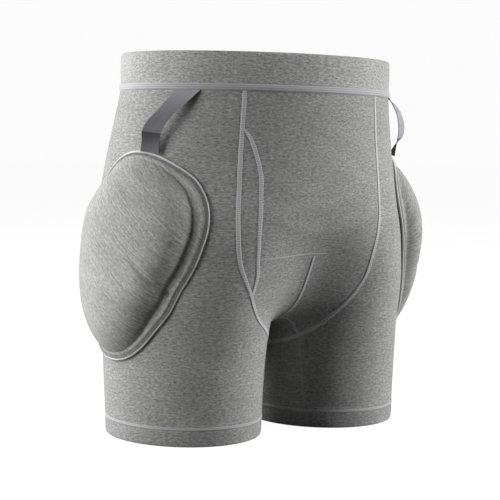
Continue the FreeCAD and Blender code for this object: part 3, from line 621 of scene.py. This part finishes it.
LOOKS = {}
for kind, name, colour, extra in (
    (knit, "body_knit", (0.268, 0.268, 0.264), {}),
    (knit, "pad_cover_knit", (0.30, 0.30, 0.294),
     {"contrast": 0.75, "drawn": 0.14, "streak": (240, 560, 1)}),
    (knit, "waistband_knit", (0.325, 0.325, 0.32), {}),
    (knit, "hem_knit", (0.255, 0.255, 0.252), {}),
    (knit, "lining_mesh", (0.25, 0.25, 0.25), {"wale": 1.8}),
    (knit, "backing_mesh", (0.16, 0.16, 0.16), {"wale": 1.6}),
    (thread, "seam_thread", (0.415, 0.41, 0.422), {}),
    (thread, "faint_thread", (0.305, 0.303, 0.308), {}),
    (thread, "band_thread", (0.34, 0.337, 0.346), {}),
    (thread, "thread", (0.42, 0.42, 0.425), {"pitch": 1.6}),
    (thread, "piping", (0.57, 0.57, 0.58), {"pitch": 1.4, "contrast": 0.12}),
    (webbing, "ribbon_webbing", (0.27, 0.267, 0.287), {}),
    # the ribbon's lower length: the same webbing darkened as painted shade, for the side that the fold
    # turns away from the light
    (webbing, "ribbon_webbing_fold", (0.10, 0.098, 0.108), {}),
    (elastic, "elastic", (0.6, 0.6, 0.59), {"ribs": (60, 60, 900)}),
):
    LOOKS[name] = kind(name, colour, **extra)


def dress(piece, slot, *nodes, body=SHORTS, look=None):
    """Gives a piece the material named by its look, or else by its slot, hides the imported nodes it stands
    for, and attaches it to the body it rides on.
    """
    piece.data.materials.clear()
    piece.data.materials.append(LOOKS[look or slot])
    if nodes:
        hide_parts(*nodes)
    if body:
        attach(piece, body)
    return piece


# -------------------- knit panels

# the worn cloth is stretched this much each way beyond the size it was cut to
WORN_STRETCH = 1.06


def cloth_area(grid):
    """A grid's area in square metres."""
    cells = np.cross(np.diff(grid, axis=1)[:-1], np.diff(grid, axis=0)[:, :-1])
    return np.linalg.norm(cells, axis=-1).sum() / 1e6


def declare_panel(piece, *grids):
    """Works out the flat size and area that a panel's worn surface comes from, and keeps neither."""
    widths = [np.linalg.norm(np.diff(grid, axis=1), axis=-1).sum(axis=1).max() for grid in grids]
    lengths = [np.linalg.norm(np.diff(grid, axis=0), axis=-1).sum(axis=0).max() for grid in grids]
    flat = (max(widths) / WORN_STRETCH / 1000, max(lengths) / WORN_STRETCH / 1000)
    area = min(sum(cloth_area(grid) for grid in grids) / WORN_STRETCH ** 2, flat[0] * flat[1])


def strip_panel(name, node, rows, left, right, count, slot="body_knit", **how):
    """A panel of the strip between two edges, with (first row, last row, lines) and points to a line."""
    rows = even_rows(*rows)
    share = np.linspace(0, 1, count)
    offs = mix(right(rows)[:, None], left(rows)[:, None], share)
    grid = strip(rows, offs)
    uv = spread(offs, -length_to(rows)[:, None])
    declare_panel(dress(cloth_piece(name, grid, uv, **how), slot, node), grid)


def right_border(row):
    """Where the front and pouch panels end on the wearer's right: at the fly, or at the leg panel."""
    beside_fly = (row >= FLY_START) & (row < FLY_END)
    return np.where(beside_fly, fly_edge(row), side_edge(RIGHT)(row))


# the front panel runs a little way over the pouch panels, and the lining lies inside it
FRONT_OVERLAP, FRONT_LIFT = 0.006, 0.08
LINING_SHARE, LINING_THICKNESS, LINING_GAP = 0.85, 0.8, 0.25

strip_panel("front_cloth", "front_panel", (0.0, POUCH_ROW + FRONT_OVERLAP, 72),
            side_edge(LEFT), right_border, 90, lift=FRONT_LIFT)
strip_panel("fly_cloth", "fly_panel", (FLY_START, FLY_END, 80), fly_edge, side_edge(RIGHT), 14)
pouch_rows = (POUCH_ROW, INSEAM_ROW, 64)
strip_panel("pouch_cloth_right", "pouch_panel_right", pouch_rows, middle_line, right_border, 44)
strip_panel("pouch_cloth_left", "pouch_panel_left", pouch_rows, side_edge(LEFT), middle_line, 44)
gusset_rows = (INSEAM_ROW, GUSSET_BACK_ROW, 80)
strip_panel("gusset_cloth", "crotch_gusset", gusset_rows, side_edge(LEFT), side_edge(RIGHT), 40)
strip_panel("back_cloth", "back_panel", (GUSSET_BACK_ROW, 1.0, 130), side_edge(LEFT), side_edge(RIGHT), 90)
strip_panel("lining_cloth", "front_lining", (0.1, 0.35, 60),
            lambda row: LINING_SHARE * side_edge(LEFT)(row),
            lambda row: LINING_SHARE * side_edge(RIGHT)(row),
            60, slot="lining_mesh", thickness=LINING_THICKNESS, lift=-CLOTH - LINING_GAP)

for name, side in SIDES.items():
    parts = leg_main_grid(side), leg_inner_grid(side)
    vertices, uvs, faces = [], [], []
    for grid, height, turn in parts:
        faces += grid_faces(*grid.shape[:2], first=sum(map(len, vertices)), flip=not faces_outward(grid))
        vertices.append(on_cloth(grid).reshape(-1, 3))
        uvs.append(np.stack([side * turn * LEG_ROUND, height], axis=-1).reshape(-1, 2))
    leg = build_mesh("leg_cloth_" + name, np.concatenate(vertices), faces, np.concatenate(uvs))
    dress(thicken(leg, CLOTH), "body_knit", "leg_panel_" + name)
    declare_panel(leg, *(part[0] for part in parts))


# -------------------- flat seams

# length of a stitch, spacing of a seam's points along it, thickness and height of its thread
STITCH, SEAM_PACE, SEAM_THICKNESS, STITCH_HEIGHT = 2.4, 0.6, 0.6, 0.08
INSEAM_WIDTH = 3.2
POUCH_SEAM_ENDS = (-75.0, 16.0)
# places across a seam in half widths, and the thread's height there as a share of its full height
ACROSS = np.array([-1.0, -0.95, -0.8, -0.5, -0.2, 0.0, 0.2, 0.5, 0.8, 0.95, 1.0])
SECTION = np.array([-0.15, 0.3, 0.8, 1.0, 0.95, 0.85, 0.95, 1.0, 0.8, 0.3, -0.15])


def seam_piece(name, node, points, run_length, width, proud=0.6, look=None):
    """A flat seam on rows of points across it: two rows of thread with stitches along them."""
    run = np.linspace(0, run_length, len(points))
    stitches = 0.5 + 0.5 * np.cos(2 * math.pi * (run[:, None] / STITCH + 0.2 * ACROSS))
    lift = SECTION * proud + STITCH_HEIGHT * stitches * (np.abs(ACROSS) < 0.9)
    uv = spread(ACROSS * width / 2, run[:, None])
    made = grid_piece(name, on_cloth(points, lift), uv, flip=not faces_outward(points))
    return dress(thicken(made, SEAM_THICKNESS), "seam_thread", node, look=look)


def seam_along(name, node, edge, first, last, width=4.6, **how):
    length = length_to(last) - length_to(first)
    rows = even_rows(first, last, int(length / SEAM_PACE))
    points = strip(rows, edge(rows)[:, None] + ACROSS * width / 2)
    return seam_piece(name, node, points, length, width, **how)


def seam_across(name, node, row, first, last, width, **how):
    count = int(abs(last - first) / SEAM_PACE)
    offs = np.linspace(first, last, count)
    rows = np.interp(length_to(row) + ACROSS * width / 2, LENGTHS, ROWS)
    points = strip(rows, np.broadcast_to(offs, (len(rows), count))).transpose(1, 0, 2)
    return seam_piece(name, node, points, abs(last - first), width, **how)


for name, side in SIDES.items():
    seam_along("front_flatlock_" + name, "front_seam_" + name, side_edge(side), 0.0, INSEAM_ROW)
    seam_along("back_flatlock_" + name, "back_seam_" + name, side_edge(side), INSEAM_ROW, 1.0)
    top = strip_edge_points(side, INSEAM_ROW)[0][2]
    heights = np.linspace(HEM_TOP, top, int((top - HEM_TOP) / SEAM_PACE))
    turns = inseam_turn_at(side, heights)[:, None] + ACROSS * (INSEAM_WIDTH / 2) / LEG_ROUND
    points = leg_point(side, np.broadcast_to(heights[:, None], turns.shape), turns)
    seam_piece("inseam_flatlock_" + name, "inseam_" + name, points, top - HEM_TOP, INSEAM_WIDTH,
               proud=0.35, look="faint_thread")
seam_along("fly_flatlock", "fly_seam", fly_edge, FLY_START, FLY_END - 0.002, width=4.4)
seam_across("pouch_stitching", "pouch_seam", POUCH_ROW, *POUCH_SEAM_ENDS, 2.2,
            proud=0.3, look="faint_thread")
seam_along("centre_flatlock", "centre_seam", middle_line, POUCH_ROW + 0.004, INSEAM_ROW, width=3.4)
for name, row in (("front", INSEAM_ROW), ("back", GUSSET_BACK_ROW)):
    right, left = side_edge(RIGHT)(np.array(row)), side_edge(LEFT)(np.array(row))
    seam_across("gusset_flatlock_" + name, "gusset_seam_" + name, row, float(right), float(left), 2.4)


# -------------------- waistband, hems and their stitching

# points round a ring
ROUND = 360
# half width, half depth, distance aside and distance back of the ovals
BAND_OVAL, WAIST_SEAM_OVAL = (149.0, 115.8, 0.0, 1.5), (149.8, 116.4, 0.0, 2.0)
HEM_HALF_WIDTH, HEM_HALF_DEPTH, HEM_ASIDE, HEM_BACK = 77.2, 82.2, 88.0, -1.0


def oval_ring(half_width, half_depth, across, back, heights, lifts):
    """Rows of points round an oval, one row for each height, each with its own lift off the oval."""
    turn = np.linspace(0, 2 * math.pi, ROUND, endpoint=False)
    rows = []
    for height, lift in zip(heights, lifts):
        x = (half_width + lift) * np.cos(turn) + across
        y = (half_depth + lift) * np.sin(turn) + back
        rows.append(np.stack([x, y, height + 0 * turn], axis=-1))
    return np.array(rows), turn


def ring_piece(name, node, slot, size, outline, look=None):
    """A closed ring with a section given as (heights, lifts)."""
    heights, lifts = outline
    grid, turn = oval_ring(*size, heights, lifts)
    around = turn * (size[0] + size[1]) / 2
    run = np.concatenate([[0.0], np.cumsum(np.hypot(np.diff(heights), np.diff(lifts)))])
    uv = spread(around, run[:, None])
    piece = grid_piece(name, grid, uv, closed_count=True, closed_lines=True)
    return dress(piece, slot, node, look=look)


def section(points, steps=6):
    """A closed outline rounded off by drawing each of its sides as several points."""
    points = np.array(points, float)
    found = []
    for k in range(len(points)):
        before, here, after = points[k - 1], points[k], points[(k + 1) % len(points)]
        start, end = (before + here) / 2, (here + after) / 2
        for t in np.linspace(0, 1, steps, endpoint=False):
            found.append((1 - t) ** 2 * start + 2 * t * (1 - t) * here + t ** 2 * end)
    found = np.array(found)
    return found[:, 1], found[:, 0]


# (lift off the oval, height): the band's fold at the top, its soft body and its inner face
band_outline = [(0.0, 346), (0.6, 350), (0.5, 358), (0.8, 366), (0.6, 374), (0.3, 379), (-1.0, 380.3),
                (-3.2, 379.6), (-3.6, 376), (-3.8, 364), (-3.6, 350), (-3.4, 345.6), (-2.0, 345)]
ring_piece("waistband", "waistband_cover", "waistband_knit", BAND_OVAL, section(band_outline))
seam_outline = [(-0.2, 342.4), (0.3, 342.8), (0.9, 344.0), (1.1, 345.4), (1.0, 346.0), (1.1, 346.6),
                (0.9, 348.0), (0.3, 349.2), (-0.2, 349.6)]
ring_piece("waist_flatlock", "waist_seam", "seam_thread", WAIST_SEAM_OVAL, section(seam_outline, 4),
           look="band_thread")
hem_outline = [(0.7, 21.4), (0.6, 18), (0.7, 12), (0.4, 5), (0.1, 1.2), (-0.8, 0.0), (-2.2, 0.2),
               (-2.5, 2), (-2.3, 10), (-2.0, 20), (-1.6, 22.6), (-0.2, 22.8)]
stitch_outline = [(0.4, 15.6), (0.9, 16.2), (1.15, 17.6), (0.9, 19.0), (0.4, 19.6)]
for name, side in SIDES.items():
    size = (HEM_HALF_WIDTH, HEM_HALF_DEPTH, side * HEM_ASIDE, HEM_BACK)
    ring_piece("hem_" + name, "hem_band_" + name, "hem_knit", size, section(hem_outline))
    ring_piece("hem_thread_" + name, "hem_stitching_" + name, "hem_knit", size,
               section(stitch_outline, 3), look="band_thread")


# -------------------- hip pads

# how far the crown, the rim's underside and the middle's underside lie off the hip
PROUD, RIM_LIFT, REST = 25.0, 1.3, 0.9
PAD_CLOTH, BACKING_THICKNESS = 1.2, 1.0
UNDER_GAP, OVER_GAP = 0.15, 0.2
# towards the front the crown ends in a steeper side wall, further in from the outline
WALL_TURN = math.radians(190)
PIPING_LIFT, PIPING_OUTSET = 1.6, 0.9
TOPSTITCH_SHARE, TOPSTITCH_DEPTH = 0.975, 1.5
# radius of the piping and of the topstitching, how much it comes and goes, and how often round the pad
PIPING_TWIST, TOPSTITCH_DASH = (1.35, 0.05, 200), (0.22, 0.12, 170)
# the cover is sewn down beyond this share of its reach, and its knit runs at this slant
HELD_SHARE = 0.84
PAD_GRAIN = math.radians(44)
# the rim's fold along the wall's foot and its groove beside the piping: height, share and spread
RIM_FOLD, RIM_GROOVE = (0.8, 0.945, 0.022), (1.3, 0.985, 0.012)
# the crease over the cover's lower half: the direction across it and its distance from the middle,
# then a ridge and the hollow beside it, each with its height, distance from the crease and spread
CREASE_X, CREASE_Y, CREASE_OFFSET = 0.783, -0.621, 23.6
CREASE_RIDGE, CREASE_HOLLOW = (1.2, 0.0, 1.6), (2.4, 5.5, 3.2)
CREASE_DEPTH = {RIGHT: 1.0, LEFT: 0.25}


def under_backing(share, _angle=0.0):
    return mix(REST, RIM_LIFT, smooth_step(0.55, 1.0, share * share))


def crown(share, angle):
    """The crown's height at a place on the pad, from 1 at its middle to 0 at its foot."""
    front = smooth_step(0.1, 1.0, np.cos(angle - WALL_TURN))
    near = np.minimum(share / mix(0.94, 0.83, front), 1.0)
    return (1 - near ** mix(4.0, 7.5, front)) ** mix(0.8, 1.0, front)


def over_cover(share, angle=0.0):
    flat = under_backing(share) + 2 * PAD_CLOTH + OVER_GAP
    return flat + (PROUD - REST - 2 * PAD_CLOTH - OVER_GAP) * crown(share, angle)


PAD_ROUND = 220
PAD_SHARES = np.concatenate([np.linspace(0.02, 0.86, 50), np.linspace(0.865, 1.0, 28)])
RING_ANGLES = np.linspace(0, 2 * math.pi, 900, endpoint=False)


def pad_layer(side, shares, lift):
    """Rows of points from the pad's middle out, lifted off the hip by a function of the share."""
    angles = np.linspace(0, 2 * math.pi, PAD_ROUND, endpoint=False)
    share, angle = np.meshgrid(shares, angles, indexing="ij")
    place = pad_place(share, angle)
    base = side_point(side, *place)
    return base, outward(base), lift(share, angle), share, angle, place


def pad_piece(name, side):
    """The padded crown: a closed form from the cover down to the backing, puffed up by pressure."""
    base, out, lift, share, _, place = pad_layer(side, PAD_SHARES, over_cover)
    low_base, low_out, low_lift, _, _, low_place = pad_layer(side, PAD_SHARES[::-3], under_backing)
    top = base + out * lift[..., None]
    bottom = low_base + low_out * (low_lift + PAD_CLOTH + UNDER_GAP)[..., None]
    grid = np.concatenate([top, bottom])
    middle = [top[0].mean(axis=0), bottom[-1].mean(axis=0)]
    vertices = np.concatenate([grid.reshape(-1, 3), middle])
    count = grid.shape[0] * PAD_ROUND
    faces = grid_faces(grid.shape[0], PAD_ROUND, closed_count=True)
    for k in range(PAD_ROUND):
        after = (k + 1) % PAD_ROUND
        faces.append((after, k, count))
        faces.append((count - PAD_ROUND + k, count - PAD_ROUND + after, count + 1))
    if side == RIGHT:
        faces = [face[::-1] for face in faces]
    places = np.concatenate([np.stack(place, axis=-1), np.stack(low_place, axis=-1)]).reshape(-1, 2)
    round_off, height = np.concatenate([places, [PAD_MIDDLE, PAD_MIDDLE]]).T
    uv = np.stack([round_off * math.cos(PAD_GRAIN) + height * math.sin(PAD_GRAIN),
                   height * math.cos(PAD_GRAIN) - round_off * math.sin(PAD_GRAIN)], axis=-1)
    piece = build_mesh(name, vertices, faces, uv)
    sewn = np.concatenate([share > HELD_SHARE, np.ones(bottom.shape[:2], bool)]).ravel()
    move = puff(piece, np.nonzero(np.append(sewn, [False, True]))[0])
    move = move[:share.size].reshape(share.shape + (3,))
    swell(piece, out, np.sum(move * out, axis=-1) * 1000.0)
    shape_rim(piece, share, place, out, CREASE_DEPTH[side])
    return piece


def puff(piece, held, pressure=3.0, frames=12):
    """How each vertex moves as the cover, held at its border, is puffed up as cloth."""
    group = piece.vertex_groups.new(name="held")
    group.add([int(i) for i in held], 1.0, "REPLACE")
    cloth = piece.modifiers.new("cloth", "CLOTH")
    settings = cloth.settings
    settings.quality = 6
    settings.mass = 0.2
    settings.tension_stiffness = settings.compression_stiffness = 15
    settings.bending_stiffness = 3.0
    settings.use_pressure = True
    settings.uniform_pressure_force = pressure
    settings.vertex_group_mass = "held"
    settings.effector_weights.gravity = 0
    cloth.point_cache.frame_start, cloth.point_cache.frame_end = 1, frames
    for number in range(1, frames + 1):
        scene.frame_set(number)
    before = vertex_places(piece.data)
    after = vertex_places(piece.evaluated_get(bpy.context.evaluated_depsgraph_get()).data)
    piece.modifiers.remove(cloth)
    piece.vertex_groups.remove(group)
    scene.frame_set(1)
    return np.nan_to_num(after - before)


def vertex_places(mesh):
    places = np.empty(len(mesh.vertices) * 3, np.float32)
    mesh.vertices.foreach_get("co", places)
    return places.reshape(-1, 3)


def lift_rows(piece, out, lift):
    """Moves the first rows of a piece outwards, in millimetres."""
    places = vertex_places(piece.data)
    places[:lift.size] += (out * lift[..., None] / 1000.0).reshape(-1, 3)
    piece.data.vertices.foreach_set("co", places.ravel())
    piece.data.update()


def swell(piece, out, rise, least=-0.6, most=1.8, rounds=30):
    """The foam under the cover evens its swelling out, so only the broad part of it is kept."""
    for _ in range(rounds):
        beside = (np.roll(rise, 1, axis=1) + np.roll(rise, -1, axis=1)) / 2
        inward, onward = np.vstack([rise[:1], rise[:-1]]), np.vstack([rise[1:], rise[-1:]])
        rise = rise / 2 + beside / 4 + (inward + onward) / 8
    lift_rows(piece, out, np.clip(rise, least, most))


def shape_rim(piece, share, place, out, crease_depth):
    """Cuts the pad's rim in: a sewn groove beside the piping, a fold along the wall's foot and a crease."""
    x, y = place[0] - PAD_MIDDLE[0], place[1] - PAD_MIDDLE[1]
    near, run = CREASE_X * x + CREASE_Y * y + CREASE_OFFSET, CREASE_Y * x - CREASE_X * y
    crease = bell(near, *CREASE_RIDGE) - bell(near, *CREASE_HOLLOW)
    crease = crease * smooth_step(8, 45, run) * mix(0.3, 1.0, smooth_step(0.84, 0.66, share))
    crease = crease * crease_depth * smooth_step(0.97, 0.88, share)
    lift_rows(piece, out, bell(share, *RIM_FOLD) - bell(share, *RIM_GROOVE) + crease)


def pad_ring(name, side, place, lift, twist, run_length, round_count):
    """A closed round cord that follows the pad's outline at a lift off the hip."""
    thick, change, often = twist
    base = side_point(side, *place)
    lifts = outward(base)
    centres = base + lifts * lift
    ahead, behind = np.roll(centres, -1, axis=0), np.roll(centres, 1, axis=0)
    run = unit(ahead - behind)
    upright = unit(lifts - run * dot(lifts, run))
    across = np.cross(run, upright)
    turn = np.linspace(0, 2 * math.pi, round_count, endpoint=False)
    radius = (thick + change * np.cos(RING_ANGLES * often))[:, None, None]
    grid = (centres[:, None] + upright[:, None] * np.cos(turn)[None, :, None] * radius
            + across[:, None] * np.sin(turn)[None, :, None] * radius)
    uv = spread(turn * 1.5, np.linspace(0, run_length, len(centres))[:, None])
    return grid_piece(name, grid, uv, closed_count=True, closed_lines=True)


def pad_backing(name, side):
    """The backing cloth under the pad, with its worn area."""
    base, out, lift, _, _, place = pad_layer(side, np.linspace(0.02, 1.0, 40), under_backing)
    sheet = base + out * (lift + PAD_CLOTH)[..., None]
    backing = grid_piece(name, sheet, np.stack(place, axis=-1), closed_count=True, flip=side == RIGHT)
    return thicken(backing, BACKING_THICKNESS), cloth_area(sheet)


for name, side in SIDES.items():
    pad = pad_piece("hip_pad_" + name, side)
    dress(pad, "pad_cover_knit", *(part + name for part in
          ("pad_cover_", "pad_shell_foam_", "pad_soft_foam_", "pad_stitching_")))
    backing, area = pad_backing("pad_back_cloth_" + name, side)
    dress(backing, "backing_mesh", "pad_backing_" + name)
    cord = pad_ring("pad_cord_" + name, side, pad_place(1.0, RING_ANGLES, PIPING_OUTSET),
                    PIPING_LIFT, PIPING_TWIST, run_length=560.0, round_count=10)
    dress(cord, "piping", "pad_piping_" + name)
    stitches = pad_ring("pad_thread_" + name, side, pad_place(TOPSTITCH_SHARE, RING_ANGLES),
                        over_cover(TOPSTITCH_SHARE) - TOPSTITCH_DEPTH, TOPSTITCH_DASH,
                        run_length=540.0, round_count=6)
    dress(stitches, "thread", "pad_topstitching_" + name)


# -------------------- ribbons

# along a ribbon from the waist to the pad: distance round the hip, height, lift off the cloth
RIBBON_BACK = curve([
    (0, -67.5, 343.0, 1.2), (0.17, -63.5, 334.6, 10), (0.42, -55.3, 321.0, 17.5),
    (0.64, -45.5, 307.7, 20.5), (0.76, -41.4, 300.0, 19), (0.86, -37.6, 292.5, 12),
    (1, -32.6, 282.6, 5.5),
])
RIBBON_FRONT = curve([
    (0, -93.7, 343.0, 1.2), (0.2, -80.5, 329.6, 7.5), (0.45, -67.2, 316.6, 10.5),
    (0.64, -59.8, 306.4, 11), (0.76, -56.8, 299.7, 10), (0.86, -54.6, 292.0, 8),
    (1, -53.3, 280.9, 5.3),
])
RIBBON_FOLD = 0.76
RIBBON_WIDTH, RIBBON_LENGTH, RIBBON_THICKNESS = 19.0, 72.0, 0.8
# each length's look, the tab it takes in, its first and last share, and where it comes free of the tab
RIBBON_LENGTHS = {
    "upper": ("ribbon_webbing", "ribbon_top_tab_", 0.0, RIBBON_FOLD, 0.45),
    # the lower length takes the webbing darkened with painted shade, for its side turned away from the
    # light below the fold
    "lower": ("ribbon_webbing_fold", "ribbon_foot_tab_", RIBBON_FOLD, 1.0, 0.8),
}


def ribbon_pieces(name, side):
    """The ribbon in two lengths that meet at its fold, each built in place and not attached to the garment.
    """
    for word, (look, tab, first, last, free_at) in RIBBON_LENGTHS.items():
        t = np.linspace(first, last, 50)
        edges = []
        for line in (RIBBON_BACK, RIBBON_FRONT):
            round_off, height, lift = line(t)
            base = side_point(side, round_off, height)
            edges.append(base + outward(base) * lift[:, None])
        wide = np.linspace(0, 1, 15)
        grid = mix(edges[0][:, None], edges[1][:, None], wide[None, :, None])
        uv = spread(wide * RIBBON_WIDTH, t[:, None] * RIBBON_LENGTH)
        piece = grid_piece("ribbon_%s_%s" % (word, name), grid, uv, flip=not faces_outward(grid))
        thicken(piece, RIBBON_THICKNESS)
        dress(piece, "ribbon_webbing", tab + name, "ribbon_" + name, body=None, look=look)
        middles = grid[:, len(wide) // 2]
        fixed = middles[0] if word == "upper" else middles[-1]
        free = middles[np.argmin(np.abs(t - free_at))]
        tuple(placed(fixed))
        tuple(placed(free))
        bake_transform(piece)


for name, side in SIDES.items():
    ribbon_pieces(name, side)

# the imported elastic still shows
band_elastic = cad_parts["waistband_elastic"]
band_elastic.data.materials.clear()
band_elastic.data.materials.append(LOOKS["elastic"])


# -------------------- floor, light and camera

# half the floor's size, its drop below the hems and how bright it looks
FLOOR_SIZE, FLOOR_DROP, FLOOR_GLOW = 12.0, 0.0003, 0.96
# how much light the backdrop gives, and how bright it looks
BACKDROP_LIGHT, BACKDROP_SHOWN = 0.03, 0.97
# place, size and power of each light
LIGHTS = {
    "back_left_light": ((-1.11, 1.78, 0.75), (1.5, 1.9), 84),
    "left_light": ((-2.09, 0.18, 0.75), (1.1, 1.9), 51),
    "right_light": ((1.82, -1.05, 0.8), (1.5, 1.9), 94),
}
LIT_PLACE = (0.0, 0.0, 0.2)
# the camera stands at the front, to the wearer's right
CAMERA_TURN, CAMERA_AWAY, CAMERA_HEIGHT = -0.637, 1.45, 0.297
CAMERA_PITCH, CAMERA_ROLL = 0.0795, 0.019
CAMERA_LENS, CAMERA_SHIFT = 100.0, -0.0108


def stage_floor():
    mesh = bpy.data.meshes.new("floor")
    corners = [(x * FLOOR_SIZE, y * FLOOR_SIZE, 0) for x, y in ((-1, -1), (1, -1), (1, 1), (-1, 1))]
    mesh.from_pydata(corners, [], [(0, 1, 2, 3)])
    floor = bpy.data.objects.new("floor", mesh)
    scene.collection.objects.link(floor)
    floor.location.z = -FLOOR_DROP
    look = Look("floor", 0.9)
    look.shader.inputs["Base Color"].default_value = (0.1, 0.1, 0.1, 1)
    look.shader.inputs["Emission Color"].default_value = (1, 1, 1, 1)
    ray = look.node("LightPath").outputs["Is Camera Ray"]
    look.link(look.math("MULTIPLY", ray, FLOOR_GLOW), "Emission Strength")
    mesh.materials.append(look.material)


def stage_world():
    world = bpy.data.worlds.new("studio")
    scene.world = world
    world.use_nodes = True
    nodes, links = world.node_tree.nodes, world.node_tree.links
    background = nodes["Background"]
    background.inputs["Color"].default_value = (1, 1, 1, 1)
    ray = nodes.new("ShaderNodeLightPath")
    strength = nodes.new("ShaderNodeMapRange")
    strength.inputs["To Min"].default_value = BACKDROP_LIGHT
    strength.inputs["To Max"].default_value = BACKDROP_SHOWN
    links.new(ray.outputs["Is Camera Ray"], strength.inputs["Value"])
    links.new(strength.outputs["Result"], background.inputs["Strength"])


def soft_box(name, place, size, power):
    light = bpy.data.lights.new(name, "AREA")
    light.shape = "RECTANGLE"
    light.size, light.size_y = size
    light.energy = power
    lamp = bpy.data.objects.new(name, light)
    lamp.location = place
    lamp.rotation_euler = (Vector(LIT_PLACE) - Vector(place)).to_track_quat("-Z", "Y").to_euler()
    scene.collection.objects.link(lamp)


def stage_camera():
    sine, cosine = math.sin(CAMERA_TURN), math.cos(CAMERA_TURN)
    level = math.cos(CAMERA_PITCH)
    forward = Vector((-sine * level, cosine * level, -math.sin(CAMERA_PITCH)))
    across = Vector((cosine, sine, 0.0))
    upward = across.cross(forward)
    side = across * math.cos(CAMERA_ROLL) + upward * math.sin(CAMERA_ROLL)
    upward = upward * math.cos(CAMERA_ROLL) - across * math.sin(CAMERA_ROLL)
    data = bpy.data.cameras.new("camera")
    data.lens, data.sensor_width = CAMERA_LENS, 36.0
    data.shift_x = CAMERA_SHIFT
    camera = bpy.data.objects.new("camera", data)
    turn = Matrix((side, upward, -forward)).transposed()
    camera.matrix_world = turn.to_4x4()
    camera.location = (sine * CAMERA_AWAY, -cosine * CAMERA_AWAY - FRONT_TO_MIDDLE / 1000, CAMERA_HEIGHT)
    scene.collection.objects.link(camera)
    scene.camera = camera


stage_floor()
stage_world()
for name, light in LIGHTS.items():
    soft_box(name, *light)
stage_camera()
scene.view_settings.view_transform = "Standard"
